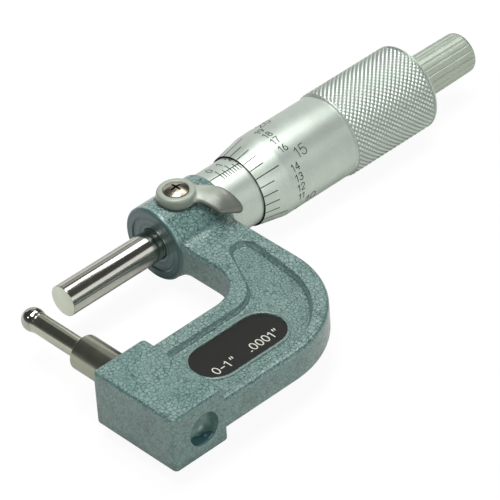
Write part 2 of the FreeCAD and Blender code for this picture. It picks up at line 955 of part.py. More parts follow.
def make_spring(start):
    """Coil spring between the ratchet crown and its washer."""
    pitch = (d.spring_length - d.wire_radius * 2) / d.spring_turns
    path = doc.addObject("Part::Helix", "spring_path")
    bind(path, "Radius", d.spring_radius)
    bind(path, "Pitch", pitch)
    bind(path, "Height", d.spring_length - d.wire_radius * 2)
    wire = primitive("Circle", "spring_wire", (d.spring_radius, none, none), Radius=d.wire_radius)
    turn_axis(wire, (0, -1, 0))
    coil = doc.addObject("Part::Sweep", "spring_coil")
    coil.Sections = [wire]
    coil.Spine = (path, [])
    coil.Solid = True
    coil.Frenet = True
    bind(coil, "Placement.Base.x", start + d.wire_radius)
    turn_axis(coil, (1, 0, 0))
    keep(coil, "ratchet_spring")


def make_ratchet():
    knob_start = thimble_rear + d.knob_gap
    base_end = thimble_rear + d.crown_base
    crown_start = base_end + d.tooth_height + d.tooth_gap + d.tooth_height
    spring_start = crown_start + d.crown_disc
    washer_start = spring_start + d.spring_length
    web_start = washer_start + d.ratchet_washer
    recess_start = knob_start + d.knob_length - d.knob_recess_depth
    bore = d.arbor_radius + d.arbor_clearance
    keep(toothed("base_disc", thimble_rear, base_end, bore, d.crown_radius, 1), "ratchet_base")
    crown = toothed("crown_disc", crown_start, spring_start, bore, d.knob_bore_radius, -1)
    keep(crown, "ratchet_crown")
    make_spring(spring_start)
    keep(ring("washer_disc", washer_start, web_start, bore, d.knob_bore_radius), "ratchet_washer")
    make_knob(knob_start, recess_start, web_start)
    arbor_start = thimble_rear + d.arbor_clearance
    head_start = recess_start + d.arbor_clearance * 2
    arbor = ring(
        "arbor_tube", arbor_start, head_start - d.arbor_clearance, d.arbor_bore, d.arbor_radius
    )
    keep(arbor, "ratchet_arbor")
    screw = turned(
        "ratchet_screw_turned",
        [
            (hub_face, none),
            (head_start + d.ratchet_head_height, none),
            (head_start + d.ratchet_head_height, d.ratchet_head_radius - d.edge_break),
            (head_start + d.ratchet_head_height - d.edge_break, d.ratchet_head_radius),
            (head_start, d.ratchet_head_radius),
            (head_start, d.tap_radius),
            (hub_face, d.tap_radius),
        ],
    )
    slot = primitive(
        "Box",
        "ratchet_slot",
        (
            head_start + d.ratchet_head_height - d.ratchet_slot_depth,
            -d.ratchet_head_radius - 1,
            -d.ratchet_slot_width / 2,
        ),
        Length=d.ratchet_slot_depth * 2,
        Width=d.ratchet_head_radius * 2 + 2,
        Height=d.ratchet_slot_width,
    )
    keep(cut("ratchet_screw_cut", screw, [slot]), "ratchet_screw")


def about_clamp(body):
    """Move a piece turned about Z to the clamp's axis."""
    bind(body, "Placement.Base.x", d.clamp_place)
    return body


def make_finger():
    """A finger of belt outline, cut to its side profile and rounded on top."""
    centre = d.clamp_place
    corner = d.edge_break
    far = d.lever_boss_radius * 4
    crest = lever_base + d.finger_crest
    under = lever_base + d.finger_lift
    root = d.finger_root_thickness / 2
    plan = belt_pad(
        "finger_plan",
        "XY_Plane",
        [
            (centre, none, d.finger_root_radius, 1),
            (centre + d.crook_side, -d.crook_reach, d.crook_radius, -1),
            (centre + d.heel_side, -d.heel_reach, d.heel_radius, 1),
            (centre + d.tip_side, -d.tip_reach, d.tip_radius, 1),
            (centre + d.back_side, -d.back_reach, d.back_radius, 1),
            (centre + d.notch_side, -d.notch_reach, d.notch_radius, -1),
        ],
        lever_top,
    )
    side = belt_pad(
        "finger_side",
        "YZ_Plane",
        [
            (far, under + root, root, 1),
            (-d.finger_crest_reach, crest - d.finger_top_radius, d.finger_top_radius, 1),
            (-far, -corner, corner, 1),
            (-d.finger_under_bend, under - d.finger_under_radius, d.finger_under_radius, -1),
        ],
        far,
        start=centre - far / 2,
    )
    common = doc.addObject("Part::MultiCommon", "finger_common")
    common.Shapes = [plan, side]
    doc.recompute()
    soft = doc.addObject("Part::Fillet", "finger_soft")
    soft.Base = common
    rounds = []
    for i, edge in enumerate(common.Shape.Edges):
        if upright(edge):
            continue
        middle = edge.valueAt((edge.FirstParameter + edge.LastParameter) / 2)
        radius = d.finger_round if middle.z > finger_middle(middle.y) else d.lever_under_edge
        rounds.append((i + 1, radius.value, radius.value))
    soft.Edges = rounds
    return soft


def finger_middle(y):
    """Half way up the finger, at a distance along it."""
    crest = (lever_base + d.finger_crest).value
    heights = []
    for level, radius, bend in (
        (crest, d.finger_top_radius.value, d.finger_crest_reach.value),
        ((lever_base + d.finger_lift).value, d.finger_under_radius.value, d.finger_under_bend.value),
    ):
        past = max(-bend - y, 0)
        heights.append(level - radius + math.sqrt(radius * radius - past * past))
    return sum(heights) / 2


def upright(edge):
    """True for the seams that stand on the finger's sides."""
    box = edge.BoundBox
    return box.XLength + box.YLength < 1e-3


def make_lever():
    """The round boss of the lever with its finger, and the hole for the stud and the screw."""
    boss = turned(
        "lever_boss",
        [
            (none, lever_base),
            (d.lever_boss_radius - d.lever_under_edge, lever_base),
            (d.lever_boss_radius, lever_base + d.lever_under_edge),
            (d.lever_boss_radius, lever_top - d.lever_boss_round),
            (d.lever_boss_radius - d.lever_boss_round, lever_top),
            (none, lever_top),
        ],
        {1: (d.lever_under_edge, 1), 3: (d.lever_boss_round, 1)},
        plane="XZ_Plane",
        axis="V_Axis",
    )
    hole = turned(
        "lever_hole",
        [
            (none, lever_base - 1),
            (d.stud_radius, lever_base - 1),
            (d.stud_radius, lever_top - d.screw_sink),
            (d.screw_head_radius, lever_top),
            (d.screw_head_radius, lever_top + 1),
            (none, lever_top + 1),
        ],
        plane="XZ_Plane",
        axis="V_Axis",
    )
    whole = doc.addObject("Part::MultiFuse", "lever_whole")
    whole.Shapes = [about_clamp(boss), make_finger()]
    keep(cut("lever_cut", whole, [about_clamp(hole)]), "clamp_lever")


def make_clamp():
    make_lever()
    shoe_top = d.spindle_radius + d.shoe_gap + d.shoe_height
    stud_top = lever_top - d.screw_sink
    shank_end = stud_top - d.screw_length
    stud = turned(
        "stud_turned",
        [
            (none, shoe_top + d.stud_gap),
            (d.stud_radius - d.edge_break, shoe_top + d.stud_gap),
            (d.stud_radius, shoe_top + d.stud_gap + d.edge_break),
            (d.stud_radius, stud_top),
            (d.screw_shank_radius, stud_top),
            (d.screw_shank_radius, shank_end),
            (none, shank_end),
        ],
        plane="XZ_Plane",
        axis="V_Axis",
    )
    keep(about_clamp(stud), "clamp_stud")
    head_top = lever_top + d.screw_head_height
    dome = (d.screw_head_radius * d.screw_head_radius / d.screw_head_height + d.screw_head_height) / 2
    screw = turned(
        "clamp_screw_turned",
        [
            (none, shank_end),
            (d.screw_shank_radius, shank_end),
            (d.screw_shank_radius, stud_top),
            (d.stud_radius, stud_top),
            (d.screw_head_radius, lever_top),
            (none, head_top),
        ],
        {4: (dome, 1)},
        plane="XZ_Plane",
        axis="V_Axis",
    )
    about_clamp(screw)
    bars = []
    for name, length, width in (
        ("cross_bar_a", d.cross_length, d.cross_width),
        ("cross_bar_b", d.cross_width, d.cross_length),
    ):
        bar = primitive(
            "Box",
            name,
            (d.clamp_place - length / 2, -width / 2, head_top - d.cross_depth),
            Length=length,
            Width=width,
            Height=d.cross_depth * 2,
        )
        bars.append(bar)
    keep(cut("clamp_screw_cut", screw, bars), "clamp_screw")
    washer = turned(
        "clamp_washer_turned",
        [
            (d.stud_radius + d.stud_clearance, d.clamp_seat_height),
            (d.washer_radius, d.clamp_seat_height),
            (d.washer_radius, lever_base - d.stud_gap),
            (d.stud_radius + d.stud_clearance, lever_base - d.stud_gap),
        ],
        plane="XZ_Plane",
        axis="V_Axis",
    )
    keep(about_clamp(washer), "clamp_washer")
    shoe = primitive(
        "Cylinder",
        "shoe_blank",
        (d.clamp_place, none, none),
        Radius=d.shoe_radius,
        Height=shoe_top,
    )
    saddle = primitive(
        "Cylinder",
        "shoe_saddle",
        (d.boss_front, none, none),
        Radius=d.spindle_radius + d.shoe_gap,
        Height=d.boss_rear - d.boss_front,
    )
    turn_axis(saddle, (1, 0, 0))
    keep(cut("shoe_cut", shoe, [saddle]), "clamp_shoe")


def make_plate():
    plate = belt_pad(
        "plate",
        "XY_Plane",
        plate_rounds(d.plate_half_width),
        d.plate_thickness,
        start=web_floor - d.plate_pocket,
    )
    keep(plate, "name_plate")


make_frame()
make_anvil()
make_sleeves()
make_spindle()
make_thimble()
make_ratchet()
make_clamp()
make_plate()
doc.recompute()

for item in doc.Objects:
    if "Invalid" in item.State or "Error" in item.State:
        raise RuntimeError("%s could not be built: %s" % (item.Label, item.State))
for node in nodes:
    if node.Shape.isNull() or not node.Shape.isValid():
        raise RuntimeError("%s has no valid shape" % node.Label)

os.makedirs("parts", exist_ok=True)
for node in nodes:
    node.Shape.exportStep("parts/%s.step" % node.Label)
    print(node.Label, len(node.Shape.Solids), round(node.Shape.Volume, 3))
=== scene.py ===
import bpy
import bmesh
import math
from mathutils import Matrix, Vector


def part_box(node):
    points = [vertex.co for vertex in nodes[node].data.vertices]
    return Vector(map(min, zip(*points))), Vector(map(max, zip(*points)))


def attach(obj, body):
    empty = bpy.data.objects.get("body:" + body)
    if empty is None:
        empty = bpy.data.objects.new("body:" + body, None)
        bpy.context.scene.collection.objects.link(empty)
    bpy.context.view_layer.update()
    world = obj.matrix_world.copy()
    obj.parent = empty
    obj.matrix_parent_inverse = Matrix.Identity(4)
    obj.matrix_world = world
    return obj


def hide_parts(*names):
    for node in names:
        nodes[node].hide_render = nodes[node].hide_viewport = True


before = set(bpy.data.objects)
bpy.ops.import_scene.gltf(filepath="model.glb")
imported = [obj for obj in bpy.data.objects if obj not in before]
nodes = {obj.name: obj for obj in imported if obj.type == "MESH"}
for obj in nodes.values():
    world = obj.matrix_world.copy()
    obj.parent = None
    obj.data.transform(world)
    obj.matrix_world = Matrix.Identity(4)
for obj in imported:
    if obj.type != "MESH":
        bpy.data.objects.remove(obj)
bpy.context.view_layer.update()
mm = 0.001
clampAxis = (36.7, 0.0)    # mm along X and Y, the pivot of the clamp lever
print("frame loaded,", len(nodes), "nodes")


def put(name, data):
    # a new object, in the scene
    made = bpy.data.objects.new(name, data)
    bpy.context.scene.collection.objects.link(made)
    return made


# the camera, fitted to the graduations and the straight edges of the photograph
view = {
    "place": (-0.373633, -0.484944, 0.490906),
    "turn": (51.8723, 3.1709, -43.8926),   # degrees about X, Y and Z
    "lens": 307.30,
    "sensor": 36.0,
}
lensData = bpy.data.cameras.new("camera")
lensData.lens = view["lens"]
lensData.sensor_width = view["sensor"]
cameraRig = put("camera", lensData)
cameraRig.location = view["place"]
cameraRig.rotation_euler = [math.radians(a) for a in view["turn"]]
bpy.context.scene.camera = cameraRig
bpy.context.scene.view_settings.view_transform = "Standard"
print("camera set")


def tint(r, g, b):
    # a colour as it shows on screen, 0 to 255, to the linear one that Blender keeps
    linear = [c / 255 / 12.92 if c < 11 else ((c / 255 + 0.055) / 1.055) ** 2.4 for c in (r, g, b)]
    return (*linear, 1.0)


def scaled(colour, share, lift=0.0):
    # the same colour, darker or brighter
    return (*[min(c * share + lift, 1) for c in colour[:3]], 1.0)


class Val:
    # one socket, with the signs of arithmetic
    def __init__(self, paint, socket):
        self.paint = paint
        self.socket = socket

    def maths(self, operation, first, second):
        return self.paint.node("ShaderNodeMath", {"operation": operation}, {0: first, 1: second})

    def __add__(self, other):
        return self.maths("ADD", self, other)

    def __radd__(self, other):
        return self.maths("ADD", other, self)

    def __sub__(self, other):
        return self.maths("SUBTRACT", self, other)

    def __rsub__(self, other):
        return self.maths("SUBTRACT", other, self)

    def __mul__(self, other):
        return self.maths("MULTIPLY", self, other)

    def __rmul__(self, other):
        return self.maths("MULTIPLY", other, self)


class Paint:
    # the nodes of one material, or of the world
    def __init__(self, name, world=False):
        self.look = bpy.data.worlds.new(name) if world else bpy.data.materials.new(name)
        self.look.use_nodes = True
        self.tree = self.look.node_tree
        self.tree.nodes.clear()

    def node(self, kind, settings=None, inputs=None, output=0):
        # settings come first, then the values and links of the sockets
        made = self.tree.nodes.new(kind)
        for name, value in (settings or {}).items():
            setattr(made, name, value)
        for name, value in (inputs or {}).items():
            if isinstance(value, Val):
                self.tree.links.new(value.socket, made.inputs[name])
            else:
                made.inputs[name].default_value = value
        return Val(self, made.outputs[output]) if made.outputs else None

    def place(self, kind="Object"):
        return self.node("ShaderNodeTexCoord", output=kind)

    def part(self, place, axis):
        return self.node("ShaderNodeSeparateXYZ", None, {"Vector": place}, axis)

    def vector(self, operation, *values, output="Vector"):
        return self.node("ShaderNodeVectorMath", {"operation": operation}, dict(enumerate(values)), output)

    def reach(self, place, scale):
        # distance from an axis, for a scale of 0 along it
        return self.vector("LENGTH", self.vector("MULTIPLY", place, scale), output="Value")

    def noise(self, place, size, detail=2.0, rough=0.5, output="Fac"):
        # size is that of one blotch, in millimetres
        inputs = {"Vector": place, "Scale": 1 / (size * mm), "Detail": detail, "Roughness": rough}
        return self.node("ShaderNodeTexNoise", None, inputs, output)

    def cells(self, place, scale):
        # how far it is to the nearest edge between cells
        inputs = {"Vector": place, "Scale": scale}
        return self.node("ShaderNodeTexVoronoi", {"feature": "DISTANCE_TO_EDGE"}, inputs)

    def step(self, value, low, high, start=0.0, end=1.0, shape="SMOOTHSTEP"):
        inputs = {"Value": value, "From Min": low, "From Max": high, "To Min": start, "To Max": end}
        return self.node("ShaderNodeMapRange", {"interpolation_type": shape}, inputs)

    def fade(self, value, start, end):
        # 0 at the first place, 1 at the second, both in millimetres
        return self.step(value, start * mm, end * mm)

    def blend(self, share, first, second):
        return self.node("ShaderNodeMix", {"data_type": "RGBA"}, {0: share, 6: first, 7: second}, 2)

    def bump(self, height, depth):
        # depth in millimetres
        return self.node("ShaderNodeBump", None, {"Height": height, "Distance": depth * mm})

    def show(self, shader, ending="Material"):
        self.node("ShaderNodeOutput" + ending, None, {"Surface": shader})

    def finish(self, sockets):
        self.show(self.node("ShaderNodeBsdfPrincipled", None, sockets))
        return self.look


enamel = {
    "cell": 0.86,                  # mm across one hammered cell
    "webCells": 1.25,              # times as fine in the web of the arm
    "folds": 1.9,                  # times as fine, the small folds over the cells
    "veinWidth": 0.125,            # shares of a cell
    "foldWidth": 0.11,
    "dent": 0.22,                  # mm deep
    "domes": (0.30, 0.22),         # shares of a cell and of a fold, over which they bulge
    "foldRise": 0.45,              # heights of folds and grain against the cells
    "grainRise": 0.28,
    "stray": 0.75,                 # mm, how far the edges of the cells wander
    "drift": (0.6, 3.0, 0.65),     # noise: mm across a blotch, detail, roughness
    "cloud": (5.0, 3.0),
    "patch": (1.7, 2.0),
    "spots": (1.3, 3.0, 0.6),
    "grain": (0.16, 3.0, 0.65),
    "veinPatch": (0.28, 0.60, 0.2, 1.0),   # patches with weak and with full veins
    "foldPatch": (0.62, 0.36),             # and those without and with folds
    "mottleSpots": (0.46, 0.66),
    "patchSpots": (0.44, 0.30),
    "upright": (0.55, 0.1),        # the normal's rise squared, on upright sides
    "rounded": ((0.15, 0.45), (0.93, 0.70)),   # and on rounded edges, from side and from top
    "arm": (7.5, 9.0),             # mm along X, from the block to the arm
    "web": (2.9, 2.3),             # mm from the middle plane, from the rims to the web
    "saddle": (7.8, 9.5),          # mm from the spindle's axis, from the boss outwards
    # painted light: the saddle between arm and boss paler
    "saddlePaintedLight": 0.14,
    "boss": (8.4, 7.9),            # and inwards on to it
    "bossRim": (31.2, 30.7),       # mm along X, to its front edge
    "face": (30.7, 30.2),          # and to its turned face,
    "faceRound": (7.9, 7.7),       # mm from the axis
    "faceShare": 0.84,
    "faceRings": ((4.0, 0.45), (5.6, 0.55), (7.0, 0.4)),   # mm, radius and width
    "ringShare": 0.14,
    "plug": (3.62, 3.5),           # mm from the axis of the counterbore
    "plugFloor": (-41.0, -41.3),   # mm along Y
    "foot": (-3.6, -6.05),         # mm along Z, darker towards the lower edges
    "light": tint(168, 200, 190),
    "deep": tint(134, 173, 165),
    # painted shade: upright sides take a darker tone than the tops, as less light falls on them
    "paintedSideShade": tint(92, 124, 120),
    "sideShare": 0.34,
    "mottle": tint(112, 122, 116),
    "mottleShare": 0.55,
    "patchTone": tint(84, 126, 130),
    "patchShare": 0.5,
    # painted shade: rounded edges, and upright sides towards the bottom, darker
    "paintedEdgeShade": tint(62, 98, 100),
    "edgeShare": 0.55,
    "footShare": 0.5,
    # painted shade on the turned face of the boss and its rings
    "paintedFaceShade": tint(33, 77, 79),
    "vein": tint(44, 86, 92),
    "foldShare": 0.5,
    "metal": 0.10,
    "rough": 0.24,
    "grainRough": 0.16,
    "coat": 0.7,
    "coatRough": 0.07,
}


def hammerEnamel(name, calm=0.0):
    # calm 0 is the open hammered paint, 1 the smooth paint of the plug and the mouth
    e = enamel
    paint = Paint(name)
    place = paint.place()
    x, y, z = [paint.part(place, axis) for axis in range(3)]
    around = paint.reach(place, (0, 1, 1))
    up = paint.part(paint.place("Normal"), 2)
    tilt = up * up
    side = paint.step(tilt, *e["upright"])
    kinds = ("cloud", "patch", "spots", "grain")
    cloud, patch, spots, grain = [paint.noise(place, *e[kind]) for kind in kinds]

    # places of the frame that look different
    arm = paint.fade(x, *e["arm"])
    web = arm * paint.step(z * z, *[(at * mm) ** 2 for at in e["web"]])
    saddle = paint.fade(around, *e["saddle"])
    boss = paint.fade(around, *e["boss"])
    bossRim = boss * paint.fade(x, *e["bossRim"])
    face = paint.fade(x, *e["face"]) * paint.fade(around, *e["faceRound"])
    plug = paint.fade(paint.reach(place, (1, 0, 1)), *e["plug"]) * paint.fade(y, *e["plugFloor"])
    foot = paint.fade(z, *e["foot"])
    # painted shade where the normal turns on rounded edges, less on the boss
    fromSide, fromTop = [paint.step(tilt, *rise) for rise in e["rounded"]]
    rounded = fromSide * fromTop * (1 - 0.8 * boss)
    hammered = (1 - calm) * (1 - plug) * (1 - 0.8 * face)
    smooth = 1 - 0.42 * side

    # cells with dark veins between them, and small folds
    bent = paint.vector(
        "MULTIPLY_ADD", paint.noise(place, *e["drift"], "Color"), (e["stray"] * mm,) * 3, place
    )
    size = 1 / (e["cell"] * mm)
    edge, finer, fold = [paint.cells(bent, size * times) for times in (1, e["webCells"], e["folds"])]
    edge = edge + web * (finer - edge)
    vein = (1 - paint.step(edge, 0.0, e["veinWidth"])) * paint.step(patch, *e["veinPatch"])
    crease = (1 - paint.step(fold, 0.0, e["foldWidth"])) * paint.step(patch, *e["foldPatch"])

    # painted shade over the turned face of the boss, with darker rings for the rings that the tool left,
    # painted as their dark reflections
    rings = e["faceShare"] * face
    for radius, width in e["faceRings"]:
        gap = (around - radius * mm) * (1 / (width * mm))
        rings = rings + e["ringShare"] * face * (1 - paint.step(gap * gap, 0.0, 1.0))

    # colours laid over each other, and how much of each
    # random clouds and grain set the tone, and painted light makes the saddle paler
    lit = 0.6 * cloud + 0.5 * grain + e["saddlePaintedLight"] * arm * saddle
    colour = paint.blend(paint.step(lit, 0.3, 0.8), e["deep"], e["light"])
    layers = {
        # painted shade on the upright sides
        "paintedSideShade": side * e["sideShare"],
        "mottle": side * e["mottleShare"] * paint.step(spots, *e["mottleSpots"]),
        "patchTone": e["patchShare"] * paint.step(spots, *e["patchSpots"]),
        "paintedEdgeShade": rounded * e["edgeShare"] + foot * side * e["footShare"],
        "paintedFaceShade": rings,
        "vein": (vein + e["foldShare"] * crease) * smooth * hammered,
    }
    for tone, share in layers.items():
        colour = paint.blend(share, colour, e[tone])
    cellDome, foldDome = [paint.step(gap, 0.0, width) for gap, width in zip((edge, fold), e["domes"])]
    dome = cellDome + e["foldRise"] * foldDome
    height = dome * smooth * hammered * (1 - bossRim) + grain * e["grainRise"]
    return paint.finish({
        "Base Color": colour,
        "Metallic": e["metal"],
        "Roughness": e["rough"] + e["grainRough"] * grain,
        "Normal": paint.bump(height, e["dent"]),
        "Coat Weight": e["coat"],
        "Coat Roughness": e["coatRough"],
    })


# name, colour, roughness, mm between tool lines, how fine along X, Y and Z, mm deep, spread of the roughness
metals = {
    "polished": ("polished_steel", tint(206, 206, 196), 0.09, 0.30, (1, 0.15, 0.15), 0.0012, 0.05),
    "collar": ("ground_collar", tint(176, 178, 160), 0.19, 0.20, (0.15, 1, 0.15), 0.003, 0.06),
    "neck": ("polished_neck", tint(196, 200, 182), 0.12, 0.30, (0.15, 1, 0.15), 0.0012, 0.05),
    "ball": ("lapped_carbide", tint(190, 188, 180), 0.06, 0.6, (1, 1, 1), 0.0006, 0.04),
    # the lapped face is rougher, and its colour is raised as a painted reflection of the bright floor
    "faceEnd": ("lapped_face_painted_reflection", tint(224, 230, 214), 0.34, 0.15, (1, 1, 1), 0.001, 0.05),
    "satin": ("satin_chrome", tint(222, 232, 222), 0.44, 0.16, (1, 0.3, 0.3), 0.002, 0.05),
    "knob": ("matte_chrome", tint(203, 213, 199), 0.50, 0.25, (0.3, 1, 1), 0.003, 0.06),
    "endScrew": ("nickel_end_screw", tint(172, 166, 150), 0.24, 0.5, (1, 1, 1), 0.001, 0.05),
    "hard": ("hardened_steel", tint(120, 120, 116), 0.32, 0.3, (1, 1, 1), 0.003, 0.06),
    "bore": ("bored_steel", tint(110, 108, 100), 0.38, 0.2, (1, 0.3, 0.3), 0.004, 0.06),
}


def turnedMetal(name, colour, rough, lines, across, depth, spread):
    paint = Paint(name)
    place = paint.place()
    cut = paint.noise(paint.vector("MULTIPLY", place, across), lines, 3.0, 0.6)
    smear = paint.noise(place, 4.0, 2.0)
    share = paint.step(0.6 * cut + 0.4 * smear, 0.3, 0.7)
    return paint.finish({
        "Base Color": paint.blend(share, scaled(colour, 0.86), colour),
        "Metallic": 1.0,
        "Roughness": rough + spread * cut + spread * smear,
        "Normal": paint.bump(cut, depth),
    })


def inkPaint(name, colour, rough, shine=0.12):
    paint = Paint(name)
    wearAndTipShade = paint.noise(paint.place(), 0.35, 3.0, 0.6)
    return paint.finish({
        "Base Color": paint.blend(paint.step(wearAndTipShade, 0.5, 0.85), colour, scaled(colour, 1.9, 0.01)),
        "Roughness": rough + 0.1 * wearAndTipShade,
        "Specular IOR Level": shine,
    })


def lacquered(name, colour, metal, rough, coat):
    # glossy and even enamel
    paint = Paint(name)
    place = paint.place()
    cloud = paint.noise(place, 2.2, 3.0)
    grain = paint.noise(place, 0.2, 2.0)
    return paint.finish({
        "Base Color": paint.blend(cloud, scaled(colour, 0.88), colour),
        "Metallic": metal,
        "Roughness": rough + 0.08 * grain,
        "Normal": paint.bump(grain, 0.004),
        "Coat Weight": coat,
        "Coat Roughness": 0.14,
    })


knurlLook = {
    "crest": tint(220, 230, 220),
    # painted shade in the grooves of the knurl
    "grooveShade": tint(172, 181, 174),
    "heights": (8.76, 8.96),       # mm from the axis, from the valley's tone to the crest's
    "rough": 0.42,
}


def knurled():
    # painted shade: the grooves darker than the bright tops, told apart by the radius
    paint = Paint("knurled_chrome")
    place = paint.place()
    cut = paint.noise(place, 0.2, 2.0)
    top = paint.fade(paint.reach(place, (0, 1, 1)), *knurlLook["heights"])
    return paint.finish({
        "Base Color": paint.blend(top, knurlLook["grooveShade"], knurlLook["crest"]),
        "Metallic": 1.0,
        "Roughness": knurlLook["rough"] + 0.08 * cut,
        "Normal": paint.bump(cut, 0.002),
    })


def fromPivot(paint, place):
    # distance from the pivot of the clamp lever
    pivot = (clampAxis[0] * mm, clampAxis[1] * mm, 0)
    return paint.reach(paint.vector("SUBTRACT", place, pivot), (1, 1, 0))


leverLook = {
    # painted shade: steep flanks and the tip darker than the lit top
    "litTop": tint(168, 178, 163),
    "tipShade": tint(99, 104, 95),
    "wearAndTipShade": (4.2, 9.8),            # mm from the pivot
    "bossSideShade": tint(150, 158, 144),
    "leafSideShade": tint(132, 139, 127),
    "leaf": (3.9, 5.4),            # mm from the pivot, where the leaf begins
}


def leverCast():
    # satin casting; painted shade on its steep flanks, and painted shade darkening it towards the tip
    look = leverLook
    paint = Paint("cast_nickel")
    place = paint.place()
    cloud = paint.noise(place, 2.2, 3.0)
    grain = paint.noise(place, 0.2, 2.0)
    up = paint.part(paint.place("Normal"), 2)
    out = fromPivot(paint, place)
    # painted shade on steep faces
    steep = paint.blend(paint.fade(out, *look["leaf"]), look["bossSideShade"], look["leafSideShade"])
    shade = paint.blend(paint.step(up + 0.1 * cloud, 0.72, 0.98), steep, look["litTop"])
    # painted shade growing towards the tip, less on flat tops
    tipShade = paint.fade(out + 0.001 * cloud, *look["wearAndTipShade"]) * (1 - 0.5 * paint.step(up, 0.93, 0.99))
    return paint.finish({
        "Base Color": paint.blend(tipShade, shade, look["tipShade"]),
        "Metallic": 0.15,
        "Roughness": 0.42 + 0.08 * grain,
        "Normal": paint.bump(grain, 0.004),
        "Coat Weight": 0.4,
        "Coat Roughness": 0.2,
    })


screwLook = {
    "dome": tint(176, 168, 152),
    # painted shade in the cross recess
    "hole": tint(16, 15, 13),
    "holeRound": (1.34, 1.28),     # mm from the pivot
    "holeDepth": (0.19, 0.24),     # mm below the top of the dome
}


def screwHead():
    # bright dome; painted shade in the recess: black under the dome near the axis
    look = screwLook
    paint = Paint("nickel_screw")
    place = paint.place()
    cut = paint.noise(place, 0.5, 3.0)
    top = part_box("clamp_screw")[1][2]
    hole = paint.fade(fromPivot(paint, place), *look["holeRound"])
    hole = hole * paint.step(paint.part(place, 2), *[top - depth * mm for depth in look["holeDepth"]])
    return paint.finish({
        "Base Color": paint.blend(hole, look["dome"], look["hole"]),
        "Metallic": 1.0,
        "Roughness": 0.20 + 0.06 * cut + 0.4 * hole,
        "Normal": paint.bump(cut, 0.001),
    })


finishes = {key: turnedMetal(*values) for key, values in metals.items()}
finishes.update({
    "lever": leverCast(),
    "knurl": knurled(),
    "screw": screwHead(),
    # a dark glossy finish for the sheet of painted shade in the counterbore
    "shadeSheet": lacquered("enamel_shade_sheet", tint(70, 112, 122), 0.0, 0.22, 0.7),
    "bead": lacquered("paint_bead", tint(118, 136, 130), 0.2, 0.30, 0.6),
    # ink of the graduations, also laid on the thimble's nose as painted shade
    "inkAndNoseShade": inkPaint("graduation_ink_and_nose_shade", tint(34, 36, 32), 0.7),
    "print": inkPaint("plate_print", tint(214, 214, 200), 0.45),
    "plate": inkPaint("plate_enamel", tint(22, 24, 20), 0.32, 0.33),
    "enamel": hammerEnamel("hammer_enamel"),
    "calm": hammerEnamel("smooth_enamel", 1.0),
})
print("finishes made:", len(finishes))


def alongX(t, r, angle):
    # angle 0 looks to -Y and grows towards +Z, as on the graduations
    return (t, -r * math.cos(angle), r * math.sin(angle))


def alongPin(t, r, angle):
    return (r * math.cos(angle), -t, r * math.sin(angle))


def aboutZ(x, y, z=0.0):
    return lambda t, r, angle: (x + r * math.cos(angle), y + r * math.sin(angle), z + t)


def between(a, b, parts):
    # points on the way from a to b, with b but without a
    return [(a[0] + (b[0] - a[0]) * k / parts, a[1] + (b[1] - a[1]) * k / parts) for k in range(1, parts + 1)]


def bow(x, y, rx, ry, start, end, steps=14):
    # part of an ellipse, angles in degrees
    angles = [math.radians(start + (end - start) * k / steps) for k in range(steps + 1)]
    return [(x + rx * math.cos(a), y + ry * math.sin(a)) for a in angles]


def halfRound(radius, steps):
    # the profile of a ball, with both ends on the axis
    points = [(-x, y) for x, y in bow(0, 0, radius, radius, 0, 180, steps)]
    points[0], points[-1] = (-radius, 0), (radius, 0)
    return points


def soften(corners, steps=4):
    # each corner is (along, radius) or (along, radius, round); the rounds become short arcs
    most = 0.49    # how much of a side a round may take
    out = []
    for i, corner in enumerate(corners):
        here = corner[:2]
        if len(corner) == 2:
            out.append(here)
            continue
        before = corners[i - 1]
        after = corners[(i + 1) % len(corners)]
        a = [before[0] - here[0], before[1] - here[1]]
        b = [after[0] - here[0], after[1] - here[1]]
        lenA, lenB = math.hypot(*a), math.hypot(*b)
        a = [c / lenA for c in a]
        b = [c / lenB for c in b]
        half = math.acos(max(-1, min(1, a[0] * b[0] + a[1] * b[1]))) / 2
        back = min(corner[2] / math.tan(half), lenA * most, lenB * most)
        size = back * math.tan(half)
        middle = [a[0] + b[0], a[1] + b[1]]
        reach = size / math.sin(half) / math.hypot(*middle)
        centre = [here[0] + middle[0] * reach, here[1] + middle[1] * reach]
        start = [here[0] + a[0] * back - centre[0], here[1] + a[1] * back - centre[1]]
        end = [here[0] + b[0] * back - centre[0], here[1] + b[1] * back - centre[1]]
        first = math.atan2(start[1], start[0])
        sweep = math.atan2(end[1], end[0]) - first
        sweep = (sweep + math.pi) % (2 * math.pi) - math.pi
        for k in range(steps + 1):
            turn = first + sweep * k / steps
            out.append((centre[0] + size * math.cos(turn), centre[1] + size * math.sin(turn)))
    return out


def netFaces(rows, count, closed=True):
    # quads between rows of points that follow each other
    faces = []
    for j in range(rows - 1):
        here, there = j * count, (j + 1) * count
        for i in range(count if closed else count - 1):
            n = (i + 1) % count
            faces.append([here + i, here + n, there + n, there + i])
    return faces


def turned(profile, place, rings, closed=True):
    # a profile swept round; a corner on the axis makes triangles
    count = len(profile)
    verts = [place(t, r, 2 * math.pi * i / rings) for i in range(rings) for t, r in profile]
    faces = []
    for i in range(rings):
        here, there = i * count, (i + 1) % rings * count
        for j in range(count if closed else count - 1):
            k = (j + 1) % count
            ring = [here + j, here + k, there + k, there + j]
            for corner in (j, k):
                if profile[corner][1] == 0:
                    ring.remove(there + corner)
            if len(ring) > 2:
                faces.append(ring)
    return verts, faces


